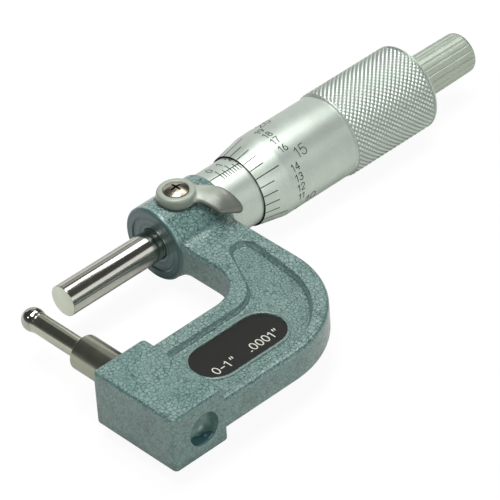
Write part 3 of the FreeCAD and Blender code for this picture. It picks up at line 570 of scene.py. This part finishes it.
def build(name, verts, faces, looks, body, slot, instead=(), sharp=38.0, second=None, outwards=False):
    # verts in millimetres; second is an axis and the place on it below which faces take the second look
    mesh = bpy.data.meshes.new(name)
    mesh.from_pydata([[c * mm for c in v] for v in verts], [], faces)
    for look in looks:
        mesh.materials.append(finishes[look])
    work = bmesh.new()
    work.from_mesh(mesh)
    bmesh.ops.remove_doubles(work, verts=work.verts, dist=1e-7)
    bmesh.ops.recalc_face_normals(work, faces=work.faces)
    work.normal_update()
    for face in work.faces:
        face.smooth = True
        centre = face.calc_center_median()
        if second:
            face.material_index = int(centre[second[0]] < second[1] * mm)
        if outwards and face.normal.y * centre.y + face.normal.z * centre.z < 0:
            face.normal_flip()
    work.to_mesh(mesh)
    work.free()
    mesh.set_sharp_from_angle(angle=math.radians(sharp))
    piece = put(name, mesh)
    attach(piece, body)
    if instead:
        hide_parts(*instead)
    return piece


def lathe(name, corners, looks, body, slot, place=alongX, rings=192, closed=True, **more):
    verts, faces = turned(soften(corners), place, rings, closed)
    build(name, verts, faces, looks, body, slot, **more)


# measuring end: ball, neck and collar
pin = {
    "ball": 2.35,
    "neck": 2.0,
    "seam": 1.23,          # mm from the ball's centre to the rim of the cup
    "rim": 2.1,
    "collarStart": 13.7,
    "collar": 3.5,
    "blockNear": 24.5,
    "shank": 2.6,
    "tail": 41.5,
}


def makePin():
    p = pin
    lathe("ball_lapped", halfRound(p["ball"], 32), ["ball"], "frame_body", "carbide", alongPin, 128, False,
          instead=["anvil_ball"], sharp=60)
    corners = [
        (p["seam"] + 0.5, 0),
        (p["seam"], p["neck"] - 0.02),
        (p["seam"] + 0.02, p["rim"], 0.05),
        (p["seam"] + 0.32, p["rim"] - 0.03, 0.08),
        (p["seam"] + 0.46, p["neck"], 0.08),
        (p["collarStart"], p["neck"], 0.15),
        (p["collarStart"], p["collar"], 0.22),
        (p["blockNear"], p["collar"]),
        (p["blockNear"], p["shank"]),
        (p["tail"], p["shank"]),
        (p["tail"], 0),
    ]
    lathe("pin_turned", corners, ["neck", "collar"], "frame_body", "ground_steel", alongPin, 160, False,
          instead=["anvil_pin"], second=(1, 0.05 - p["collarStart"]))


makePin()
print("pin and ball made")


spindle = {
    "face": 7.242,
    "radius": 3.175,
    "reliefStart": 54.5,
    "relief": 2.875,
    "screwStart": 56.5,
    "screw": 3.75,
    "threadDepth": 0.28,
    "pitch": 0.635,
    "crest": (0.45, 0.55),    # shares of the pitch, where the thread is highest
    "screwEnd": 89.092,
    "seatLarge": 3.4,
    "hub": 90.592,
    "seatSmall": 2.9,
    "rear": 97.192,
    "tap": 1.5,
}


def makeSpindle():
    s = spindle
    corners = [
        (s["face"], 0),
        (s["face"], s["radius"], 0.12),
        (s["reliefStart"], s["radius"], 0.05),
        (s["reliefStart"], s["relief"]),
        (s["screwStart"], s["relief"]),
    ]
    t = s["screwStart"] + 0.2
    while t < s["screwEnd"] - s["pitch"]:
        corners.append((t, s["screw"] - s["threadDepth"]))
        corners += [(t + s["pitch"] * share, s["screw"] - 0.02) for share in s["crest"]]
        t += s["pitch"]
    corners += [
        (s["screwEnd"], s["seatLarge"]),
        (s["hub"], s["seatLarge"]),
        (s["rear"], s["seatSmall"]),
        (s["rear"], s["tap"]),
        (s["hub"], s["tap"]),
        (s["hub"], 0),
    ]
    lathe("spindle_ground", corners, ["polished", "faceEnd"], "screw_body", "ground_steel", alongX, 160, False,
          instead=["spindle"], second=(0, s["face"] + 0.02))


makeSpindle()
print("spindle made")


# mouth of the boss, and a dark glossy sheet of painted shade along the bottom of the counterbore
mouth = {"front": 30.32, "rear": 30.95, "inner": 3.3, "outer": 3.9}
shadeSheet = {
    "bore": 3.45,
    "from": 42.9,             # mm towards -Y
    "to": 45.62,
    "half": 42.0,             # degrees each side of the bottom
    "turn": 2.0,
    "taper": 0.12,            # how much narrower it is at both ends
    "thick": 0.40,
    "slant": 1.0,             # mm that one end of its edge lies deeper
    "slantFrom": -0.3,
    "slantPower": 1.2,
    "wave": 0.12,             # mm, of its edge
    "waves": 6,               # radians each side of the middle
    "nibAt": (1.15, -44.3, -3.0),
    "nib": 0.5,
}


def makePool():
    k = shadeSheet
    along, around = 20, 32
    verts = []
    for top in (1, 0):
        for j in range(along + 1):
            v = 2 * j / along - 1
            for i in range(around + 1):
                u = 2 * i / around - 1
                lens = max(0, 1 - u * u) ** 0.5 * max(0, 1 - v ** 4) ** 0.5
                turn = math.radians(-90 + k["turn"] + k["half"] * u * (1 - k["taper"] * v * v))
                near = k["from"] + k["slant"] * max(0, u - k["slantFrom"]) ** k["slantPower"]
                near += k["wave"] * math.sin(k["waves"] * u)
                reach = near + (k["to"] - near) * (v + 1) / 2
                verts.append(alongPin(reach, k["bore"] - top * k["thick"] * lens, turn))
    upper = netFaces(along + 1, around + 1, False)
    lower = [[len(verts) // 2 + corner for corner in face] for face in upper]
    build("bore_shade_sheet", verts, upper + lower, ["shadeSheet"], "frame_body", "hammer_enamel", sharp=180)
    lathe("bore_nib", halfRound(k["nib"], 16), ["shadeSheet"], "frame_body", "hammer_enamel",
          aboutZ(*k["nibAt"]), 32, False)


lathe("mouth_ring", [(mouth["front"], mouth["inner"], 0.08), (mouth["front"], mouth["outer"]),
                     (mouth["rear"], mouth["outer"]), (mouth["rear"], mouth["inner"])],
      ["calm"], "frame_body", "hammer_enamel", alongX, 128)
makePool()
print("mouth and counterbore made")


def strip(name, spans, radius, body, slot):
    # thin lines laid on a cylinder or a cone; each span is (x from, x to, degrees from, degrees to)
    arc = 3    # degrees of one flat
    verts = []
    faces = []
    for x0, x1, a0, a1 in spans:
        steps = max(1, int(abs(a1 - a0) / arc))
        start = len(verts)
        for k in range(steps + 1):
            angle = math.radians(a0 + (a1 - a0) * k / steps)
            verts += [alongX(x, radius(x), angle) for x in (x0, x1)]
        faces += [[start + corner for corner in face] for face in netFaces(steps + 1, 2, False)]
    build(name, verts, faces, ["inkAndNoseShade"], body, slot, outwards=True)


# figures as an engraver's single strokes, one high and about 0.6 wide
figures = {
    "0": [bow(0, 0.5, 0.28, 0.5, 90, 450, 32)],
    "1": [[(-0.16, 0.76), (0.0, 0.84), (0.1, 1.0), (0.1, 0.0)]],
    "2": [bow(0, 0.72, 0.27, 0.28, 170, -25) + [(-0.28, 0.02), (-0.28, 0.0), (0.3, 0.0)]],
    "3": [bow(0, 0.745, 0.24, 0.255, 160, -85), bow(0, 0.27, 0.28, 0.27, 85, -165)],
    "4": [[(0.14, 0.0), (0.14, 1.0), (-0.3, 0.28), (0.32, 0.28)]],
    "5": [[(0.25, 1.0), (-0.2, 1.0), (-0.25, 0.52)] + bow(0, 0.32, 0.29, 0.32, 130, -155)],
    "6": [bow(0.02, 0.30, 0.28, 0.30, 0, 360, 24), bow(0.28, 0.30, 0.54, 0.70, 180, 112)],
    "7": [[(-0.28, 1.0), (0.28, 1.0), (0.02, 0.45), (-0.06, 0.0)]],
    "8": [bow(0, 0.76, 0.22, 0.24, 0, 360, 24), bow(0, 0.27, 0.28, 0.27, 0, 360, 24)],
    "9": [bow(-0.02, 0.70, 0.28, 0.30, 0, 360, 24), bow(-0.28, 0.70, 0.54, 0.70, 0, -68)],
    "-": [[(-0.2, 0.42), (0.2, 0.42)]],
    ".": [[(-0.05, 0.05), (0.05, 0.05)]],
    "'": [[(0.0, 0.74), (0.05, 1.0)]],
    " ": [],
}
figureWidths = {"1": 0.6, "-": 0.74, ".": 0.42, "'": 0.26, " ": 0.14}
plainWidth = 0.82
strokeStep = 0.12


def ribbon(line, width):
    # quads along a stroke, its ends squared off half a width further
    points = [line[0]]
    for point in line[1:]:
        gap = math.dist(point, points[-1])
        points += between(points[-1], point, max(1, int(gap / strokeStep)))
    last = len(points) - 1
    ring = math.dist(points[0], points[last]) < 1e-6
    sides = []
    for k, (x, y) in enumerate(points):
        before = points[k - 1] if k else points[-2 if ring else 0]
        after = points[k + 1] if k < last else points[1 if ring else last]
        dx, dy = after[0] - before[0], after[1] - before[1]
        size = math.hypot(dx, dy)
        dx, dy = dx / size * width / 2, dy / size * width / 2
        if not ring and k in (0, last):
            out = -1 if k == 0 else 1
            x, y = x + out * dx, y + out * dy
        sides.append(((x - dy, y + dx), (x + dy, y - dx)))
    return [(a, b, d, c) for (a, b), (c, d) in zip(sides, sides[1:])]


def setFigures(name, words, place, body, slot, weight, look="inkAndNoseShade"):
    # each word is (text, x, turn or y, height); it reads along +X and place puts a point of it in space
    verts = []
    for text, x, other, height in words:
        widths = [figureWidths.get(c, plainWidth) for c in text]
        pen = -sum(widths) / 2
        for character, width in zip(text, widths):
            for line in figures[character]:
                for quad in ribbon(line, weight / height):
                    verts += [place(x + (pen + width / 2 + px) * height, other, (py - 0.5) * height)
                              for px, py in quad]
            pen += width
    faces = [list(range(start, start + 4)) for start in range(0, len(verts), 4)]
    build(name, verts, faces, [look], body, slot, sharp=180)


def roundPlace(radius):
    return lambda x, degrees, up: alongX(x, radius(x), math.radians(degrees) + up / radius(x))


# sleeve and its scale
sleeve = {
    "zero": 47.2,
    "radius": 7.05,
    "start": 44.4,
    "end": 75.2,
    "bore": 5.9,
    "datum": 84.4,            # degrees from -Y towards +Z
    "pitch": 0.635,
    "marks": 40,
    "line": 0.19,
    "below": 1.35,
    "short": 0.75,
    "long": 1.45,
    "digitHeight": 1.6,
    "digitPlace": 2.67,
    "digitShift": -0.4,
    "weight": 0.17,
    "lift": 0.02,
}


def makeSleeve():
    s = sleeve
    corners = [
        (s["start"], s["bore"]),
        (s["end"], s["bore"]),
        (s["end"], s["radius"], 0.2),
        (s["start"], s["radius"], 0.15),
    ]
    lathe("sleeve_satin", corners, ["satin"], "frame_body", "satin_chrome", instead=["outer_sleeve"])
    on = s["radius"] + s["lift"]
    arc = math.degrees(1 / s["radius"])
    half = s["line"] / 2
    datum = s["datum"]
    scaleEnd = s["zero"] + s["pitch"] * s["marks"] + 0.6
    spans = [(s["start"] + 0.1, scaleEnd, datum - half * arc, datum + half * arc)]
    words = []
    for mark in range(s["marks"] + 1):
        x = s["zero"] + s["pitch"] * mark
        spans.append((x - half, x + half, datum - s["below"] * arc, datum))
        if mark % 2 == 0:
            above = s["short"] if mark % 4 else s["long"]
            spans.append((x - half, x + half, datum, datum + above * arc))
        if mark % 4 == 0:
            digit = str(mark // 4 % 10)
            words.append((digit, x + s["digitShift"], datum + s["digitPlace"] * arc, s["digitHeight"]))
    strip("sleeve_scale", spans, lambda x: on, "frame_body", "satin_chrome")
    setFigures("sleeve_digits", words, roundPlace(lambda x: on), "frame_body", "satin_chrome", s["weight"])


makeSleeve()
print("sleeve made")


# thimble, its divisions and its knurl
thimble = {
    "front": 52.092,
    "land": 7.12,
    "landEnd": 60.092,
    "bore": 7.45,
    "hub": 90.592,
    "seatLarge": 3.4,
    "seatSmall": 2.9,
    "rear": 97.192,
    "nose": 7.45,
    "coneEnd": 58.292,
    "barrel": 8.65,
    "barrelEnd": 75.192,
    "knurl": 9.0,
    "knurlGap": (0.5, 0.45),       # mm, from the barrel's end and from the rear
    "knurlRows": 50,
    "knurlPitch": 1.13,
    "knurlDepth": 0.25,
    "knurlRunOut": 0.45,
    "divisions": 25,
    "zeroAt": 46.1 - 15 * 14.4,    # degrees from -Y towards +Z
    "tickShort": 55.3,
    "tickLong": 57.5,
    "line": 0.18,
    "smallAt": 60.5,
    "largeAt": 63.3,
    "small": 1.5,
    "large": 2.15,
    "raise": 1.6,                  # degrees, figures above their line
    "weight": 0.17,
    "lift": 0.02,
}


def onThimble(x):
    # radius of the ink on cone and barrel
    s = thimble
    share = max(0, min(1, (x - s["front"]) / (s["coneEnd"] - s["front"])))
    return s["nose"] + (s["barrel"] - s["nose"]) * share + s["lift"]


def makeThimble():
    s = thimble
    knurlStart = s["barrelEnd"] + s["knurlGap"][0]
    knurlEnd = s["rear"] - s["knurlGap"][1]
    root = s["knurl"] - s["knurlDepth"]
    corners = [
        (s["front"], s["land"]),
        (s["landEnd"], s["land"]),
        (s["landEnd"], s["bore"]),
        (s["hub"], s["bore"]),
        (s["hub"], s["seatLarge"]),
        (s["rear"], s["seatSmall"]),
        (s["rear"], s["knurl"] - 0.22, 0.04),
        (s["rear"] - 0.2, s["knurl"] - 0.02, 0.05),
        (knurlEnd + 0.1, s["knurl"] - 0.02, 0.08),
        (knurlEnd, root),
        (knurlStart, root),
        (s["barrelEnd"] + 0.22, s["barrel"] - 0.2),
        (s["barrelEnd"], s["barrel"] - 0.2),
        (s["barrelEnd"], s["barrel"], 0.12),
        (s["coneEnd"], s["barrel"], 2.5),
        (s["front"], s["nose"], 0.05),
    ]
    # the front face of the thimble's nose takes the ink as painted shade of the gap to the sleeve
    lathe("thimble_body", corners, ["satin", "inkAndNoseShade"], "screw_body", "satin_chrome", instead=["thimble"],
          second=(0, s["front"] + 0.03))

    # knurl: crossed grooves, as a height over a fine net
    fine = 8       # points for each diamond
    flat = 0.92    # height at which the diamonds are worn flat
    under = 0.01   # mm that the net starts below the root
    around = s["knurlRows"] * fine
    length = knurlEnd - knurlStart
    along = int(length / s["knurlPitch"] * fine)
    verts = []
    for j in range(along + 1):
        x = knurlStart + length * j / along
        ends = max(0, min(1, min(x - knurlStart + 0.02, knurlEnd - x + 0.02) / s["knurlRunOut"]))
        v = (x - knurlStart) / s["knurlPitch"]
        for i in range(around):
            u = i / fine
            one = abs((u + v) % 1 - 0.5) * 2
            two = abs((u - v) % 1 - 0.5) * 2
            peak = min(1 - one, 1 - two)
            peak = min(peak * 1.35, flat - 0.1 + 0.1 * peak)
            r = root - under + (s["knurlDepth"] + under) * peak * ends / flat
            verts.append(alongX(x, min(r, s["knurl"]), 2 * math.pi * i / around))
    build("thimble_knurl", verts, netFaces(along + 1, around), ["knurl"], "screw_body", "satin_chrome",
          sharp=60)

    spans = []
    words = []
    for number in range(s["divisions"]):
        at = s["zeroAt"] + number * 360 / s["divisions"]
        half = math.degrees(s["line"] / 2 / s["nose"])
        kind = ("tickShort", "smallAt", "small") if number % 5 else ("tickLong", "largeAt", "large")
        end, place, height = [s[name] for name in kind]
        spans.append((s["front"] + 0.06, end, at - half, at + half))
        words.append((str(number), place, at + s["raise"], height))
    strip("thimble_divisions", spans, onThimble, "screw_body", "satin_chrome")
    setFigures("thimble_numbers", words, roundPlace(onThimble), "screw_body", "satin_chrome", s["weight"])


makeThimble()
print("thimble made")


# ratchet knob
knob = {
    "start": 97.442,
    "length": 15.9,
    "root": 4.5,
    "bevel": 0.15,
    "band": 1.4,
    "radius": 4.42,
    "endRadius": 4.28,
    "round": 1.0,
    "recess": 2.8,
    "recessDepth": 2.7,
    "hole": 2.05,
    "flutes": 20,
    "fluteTurn": 3.25,        # degrees
    "fluteWidth": 0.36,
    "fluteDepth": 0.15,
    "fluteRise": (0.5, 0.6),  # mm over which the flutes fade in and out
    "fluteEnd": 0.35,         # mm before the end, where they are gone
    "fluteCurve": 0.8,
    "flutePoints": 30,
    "swell": 0.02,            # mm that the paths between them stand higher in the middle
}


def makeKnob():
    k = knob
    end = k["start"] + k["length"]
    bandEnd = k["start"] + k["band"]
    floor = end - k["recessDepth"]
    outline = [
        (k["start"], k["root"] - k["bevel"]),
        (k["start"] + k["bevel"], k["root"]),
        (bandEnd - 0.1, k["root"]),
        (bandEnd, k["radius"] + 0.02),
    ]
    outline += between((bandEnd, k["radius"]), (end - k["round"], k["endRadius"]), 24)
    corner = (end - k["round"], k["endRadius"] - k["round"])
    outline += bow(*corner, k["round"], k["round"], 90, 0, 8)[1:]
    outline += [(end, k["recess"] + 0.1), (end - 0.1, k["recess"]), (floor, k["recess"]), (floor, k["hole"])]
    around = k["flutes"] * k["flutePoints"]
    turn = 360 / k["flutes"]
    verts = []
    for x, r in outline:
        fade = max(0, min(1, (x - bandEnd) / k["fluteRise"][0]))
        fade *= max(0, min(1, (end - k["fluteEnd"] - x) / k["fluteRise"][1]))
        for i in range(around):
            degrees = 360 * i / around
            off = (degrees - 180 + k["fluteTurn"]) % turn
            across = abs(math.radians(min(off, turn - off)) * r) / (k["fluteWidth"] / 2)
            sink = max(0, 1 - across) ** k["fluteCurve"] * k["fluteDepth"]
            rise = k["swell"] * (min(1, max(0, across - 1)) - 1)
            verts.append(alongX(x, r + (rise - sink) * fade, math.radians(degrees)))
    build("knob_grooved", verts, netFaces(len(outline), around), ["knob"], "knob_body", "matte_chrome",
          instead=["ratchet_knob"], sharp=50)


makeKnob()
print("knob made")


# clamp lever: a soft cast leaf with a round boss
lever = {
    "base": 7.0,
    "top": 9.3,
    "boss": 3.95,
    "bossRound": 1.6,
    "sink": 8.65,             # the seat of the screw's head
    "seat": 2.5,
    "heart": (2.7, -3.6),     # from where the leaf is seen whole
    "crest": 9.12,
    "crestPlace": -4.4,
    "crestRadius": 7.2,
    "under": 7.5,
    "underPlace": -3.4,
    "underRadius": 12.4,
    "nearEdge": 0.75,         # thickness left at the edge that faces the frame
    "nearPower": 1.5,
    "farRadius": 1.1,
    "thinnest": 0.5,
    "edge": 0.55,
    "underEdge": 0.25,
    "rings": 30,              # of points, from the heart outwards,
    "ringPower": 1.6,         # closer together at the edge
    "grain": 0.00013,         # m, the remesh's grain
    "rounds": 20,
}
# the leaf's outline as circles that a belt runs round: x, y, radius, outside 1 or inside -1
leafRounds = [
    (0.0, 0.0, 3.2, 1),
    (0.25, -5.6, 1.5, -1),
    (3.75, -8.25, 1.2, 1),
    (6.35, -9.35, 1.35, 1),
    (1.8, -6.8, 5.1, 1),
    (4.95, -0.5, 0.95, -1),
]
# the ridge of the leaf in plan, from the boss to the tip
leafRidge = [(-1.0, 0.6), (1.2, -0.5), (3.1, -1.8), (4.5, -2.9), (5.5, -4.1), (6.1, -5.4), (6.35, -6.8),
             (6.45, -8.4), (6.3, -10.9)]


def beltLine(circles, step=0.12):
    # tangent lines between neighbours, arcs round each, anticlockwise
    touches = []
    for (x0, y0, r0, s0), (x1, y1, r1, s1) in zip(circles, circles[1:] + circles[:1]):
        gap = math.hypot(x1 - x0, y1 - y0)
        lean = math.asin(max(-1, min(1, (s0 * r0 - s1 * r1) / gap)))
        normal = math.atan2(y1 - y0, x1 - x0) - math.pi / 2 + lean
        nx, ny = math.cos(normal), math.sin(normal)
        touches.append(((x0 + s0 * r0 * nx, y0 + s0 * r0 * ny), (x1 + s1 * r1 * nx, y1 + s1 * r1 * ny)))
    points = []
    for i, (x, y, r, s) in enumerate(circles):
        start = touches[i - 1][1]
        end, far = touches[i]
        first = math.atan2(start[1] - y, start[0] - x)
        sweep = (math.atan2(end[1] - y, end[0] - x) - first) % (2 * math.pi)
        if s < 0:
            sweep -= 2 * math.pi
        steps = max(2, int(abs(sweep) * r / step))
        points += [(x + r * math.cos(first + sweep * k / steps), y + r * math.sin(first + sweep * k / steps))
                   for k in range(steps + 1)]
        points += between(end, far, int(math.dist(far, end) / step) + 1)[:-1]
    return points


def offRidge(x, y):
    # distance from the ridge, positive on the near side
    best = (99, 1)
    for (ax, ay), (bx, by) in zip(leafRidge, leafRidge[1:]):
        dx, dy = bx - ax, by - ay
        share = max(0, min(1, ((x - ax) * dx + (y - ay) * dy) / (dx * dx + dy * dy)))
        gap = math.hypot(x - ax - dx * share, y - ay - dy * share)
        if gap < best[0]:
            best = (gap, 1 if dx * (y - ay) - dy * (x - ax) < 0 else -1)
    return best[0] * best[1]


def leafHeight(x, y, depth):
    # top and bottom of the leaf at a place and a depth inside its outline
    k = lever
    bottom = k["under"] - max(0, k["underPlace"] - y) ** 2 / (2 * k["underRadius"])
    top = k["crest"] - max(0, k["crestPlace"] - y) ** 2 / (2 * k["crestRadius"])
    off = offRidge(x, y)
    if off > 0:
        share = off / (off + depth + 0.05)
        top -= (top - bottom - k["nearEdge"]) * share ** k["nearPower"]
    else:
        top -= off * off / (2 * k["farRadius"])
    top = max(top, bottom + k["thinnest"])
    inside = min(1, depth / k["edge"])
    drop = 1 - math.sqrt(1 - (1 - inside) ** 2)
    top -= drop * min(k["edge"], (top - bottom) * 0.6)
    return top, bottom + drop * k["underEdge"]


def makeLever():
    k = lever
    line = beltLine(leafRounds)
    count = len(line)
    cx, cy = k["heart"]
    rings = k["rings"]
    verts = []
    for j in range(rings + 1):
        share = 1 - (1 - j / rings) ** k["ringPower"]
        for x, y in line:
            px = cx + (x - cx) * share
            py = cy + (y - cy) * share
            depth = min(math.hypot(px - qx, py - qy) for qx, qy in line[::2]) if j < rings else 0
            verts += [(px + clampAxis[0], py + clampAxis[1], z) for z in leafHeight(px, py, depth)]
    faces = []
    for face in netFaces(rings + 1, count):
        faces += [[2 * corner for corner in face], [2 * corner + 1 for corner in face]]
    for i in range(count):
        a, b = rings * count + i, rings * count + (i + 1) % count
        faces.append([2 * a, 2 * b, 2 * b + 1, 2 * a + 1])
    # the boss, turned
    corners = [
        (k["base"], 0),
        (k["base"], k["boss"] - 0.15, 0.3),
        (k["base"] + 0.7, k["boss"], 0.6),
        (k["top"], k["boss"] - 0.15, k["bossRound"]),
        (k["top"], k["seat"], 0.12),
        (k["sink"], k["seat"]),
        (k["sink"], 0),
    ]
    bossVerts, bossFaces = turned(soften(corners, 8), aboutZ(*clampAxis), 120, False)
    faces += [[len(verts) + corner for corner in face] for face in bossFaces]
    piece = build("lever_cast", verts + bossVerts, faces, ["lever"], "clamp_body", "cast_nickel",
                  instead=["clamp_lever"])
    # leaf and boss melt together
    melt = piece.modifiers.new("melt", "REMESH")
    melt.mode = "VOXEL"
    melt.voxel_size = k["grain"]
    melt.use_smooth_shade = True
    ease = piece.modifiers.new("ease", "SMOOTH")
    ease.factor = 0.5
    ease.iterations = k["rounds"]


makeLever()
print("lever made")


# name plate: its print, and the bead of paint round its pocket
plate = {
    "near": 12.7,
    "far": 24.35,
    "drop": -35.15,
    "beadInner": 4.9,
    "beadOuter": 5.42,
    "beadFoot": 1.98,
    "beadTop": 2.24,
    "printTop": 1.97,
    "printHeight": 1.85,
    "print": [("0-1  ''", 12.95, -37.38), (".0001 ''", 22.6, -37.3)],
    "weight": 0.23,
}


def makePlate():
    p = plate
    middle = (p["beadInner"] + p["beadOuter"]) / 2
    half = (p["beadOuter"] - p["beadInner"]) / 2
    steps = 8
    verts = []
    for k in range(steps + 1):
        turn = math.pi * k / steps
        r = middle + half * math.cos(turn)
        z = p["beadFoot"] + (p["beadTop"] - p["beadFoot"]) * math.sin(turn)
        line = bow(p["far"], p["drop"], r, r, -90, 90, 40) + bow(p["near"], p["drop"], r, r, 90, 270, 40)
        verts += [(x, y, z) for x, y in line]
    build("plate_bead", verts, netFaces(steps + 1, len(line)), ["bead"], "frame_body", "hammer_enamel",
          sharp=180)
    words = [(*word, p["printHeight"]) for word in p["print"]]
    setFigures("plate_print", words, lambda x, y, up: (x, y + up, p["printTop"]), "frame_body", "plate_enamel",
               p["weight"], "print")


makePlate()
print("plate made")


# finishes of the pieces that keep their solid
solids = {
    "frame": "enamel",
    "bore_plug": "calm",
    "inner_sleeve": "bore",
    "adjusting_nut": "hard",
    "ratchet_base": "hard",
    "ratchet_crown": "hard",
    "ratchet_spring": "hard",
    "ratchet_washer": "hard",
    "ratchet_arbor": "hard",
    "ratchet_screw": "endScrew",
    "clamp_stud": "hard",
    "clamp_screw": "screw",
    "clamp_washer": "hard",
    "clamp_shoe": "hard",
    "name_plate": "plate",
}
for node, look in solids.items():
    nodes[node].data.materials.clear()
    nodes[node].data.materials.append(finishes[look])
print("solids painted")


studio = {
    "target": (0.045, -0.015, 0.0),
    "sky": 0.075,
    "mirrorSky": 0.18,            # how much of the white backdrop the gloss shows, low down
    "mirrorTop": 0.35,            # how high it still does
    "mirrorFloor": 0.05,
    "floor": -9.05,               # mm, under the thimble
    "floorReach": 1.6,            # m each way
    # painted shade and light on the floor: darker in front, paler behind, as the metals show it in reflections
    "floorShadedNear": tint(204, 204, 202),
    "floorLitFar": tint(232, 232, 230),
    "floorFade": (-30, 50),       # mm along Y
    "floorGlow": 1.06,
    "floorShare": 0.88,           # of that glow in the camera's view, the rest shows the shadow
    "lamps": [
        # name, direction from the object, distance m, size m, watts
        ("over", (0.50, 0.16, 0.85), 0.9, (0.42, 0.36), 1.4),
        ("top", (0.12, 0.10, 0.99), 0.9, (0.24, 0.24), 2.4),
        ("key", (-0.25, 0.02, 0.97), 0.9, (0.36, 0.36), 3.9),
        ("front", (0.52, -0.74, 0.42), 0.9, (0.80, 0.36), 0.9),
        ("fill", (-0.26, -0.87, 0.42), 0.9, (0.50, 0.45), 2.0),
        ("back", (0.40, 0.86, 0.30), 1.0, (0.9, 0.40), 0.9),
        ("rear", (0.44, 0.59, 0.67), 1.0, (0.46, 0.30), 0.18),
        ("glint", (-0.73, 0.31, 0.61), 0.9, (0.07, 0.07), 0.26),
    ],
}


def makeLamps():
    aim = put("aim", None)
    aim.location = studio["target"]
    for name, direction, distance, size, watts in studio["lamps"]:
        data = bpy.data.lights.new("lamp_" + name, "AREA")
        data.shape = "RECTANGLE"
        data.size, data.size_y = size
        data.energy = watts
        lamp = put("lamp_" + name, data)
        length = math.hypot(*direction)
        lamp.location = [t + c / length * distance for t, c in zip(studio["target"], direction)]
        follow = lamp.constraints.new("TRACK_TO")
        follow.target = aim
        follow.track_axis = "TRACK_NEGATIVE_Z"
        follow.up_axis = "UP_Y"


def twoFaced(paint, lit, seen, cameraShare, mirrorShare, ending="Material"):
    # one shader for the light that it gives or takes, another for camera, gloss and glass
    camera, gloss, glass = [paint.node("ShaderNodeLightPath", output="Is " + ray + " Ray")
                            for ray in ("Camera", "Glossy", "Transmission")]
    share = camera * cameraShare + (gloss + glass) * mirrorShare
    paint.show(paint.node("ShaderNodeMixShader", None, {0: share, 1: lit, 2: seen}), ending)


def makeWorld():
    sky = Paint("studio", True)
    height = sky.part(sky.place("Generated"), 2)
    mirror = sky.step(height, 0.0, studio["mirrorTop"], studio["mirrorSky"], 0.0, "LINEAR")
    dim, white = [sky.node("ShaderNodeBackground", None, {"Color": (grey, grey, grey, 1)})
                  for grey in (studio["sky"], 1)]
    twoFaced(sky, dim, white, 1, mirror, "World")
    bpy.context.scene.world = sky.look


def makeFloor():
    paint = Paint("floor_paper")
    far = paint.fade(paint.part(paint.place(), 1), *studio["floorFade"])
    colour = paint.blend(far, studio["floorShadedNear"], studio["floorLitFar"])
    matt = {"Base Color": colour, "Roughness": 1.0, "Specular IOR Level": 0.0}
    paper = paint.node("ShaderNodeBsdfPrincipled", None, matt)
    glow = paint.node("ShaderNodeEmission", None, {"Color": (1, 1, 1, 1), "Strength": studio["floorGlow"]})
    twoFaced(paint, paper, glow, studio["floorShare"], studio["mirrorFloor"])
    r = studio["floorReach"]
    z = studio["floor"] * mm
    mesh = bpy.data.meshes.new("floor")
    mesh.from_pydata([(-r, -r, z), (r, -r, z), (r, r, z), (-r, r, z)], [], [[0, 1, 2, 3]])
    mesh.materials.append(paint.look)
    put("floor", mesh)


makeLamps()
makeWorld()
makeFloor()
print("studio lit")
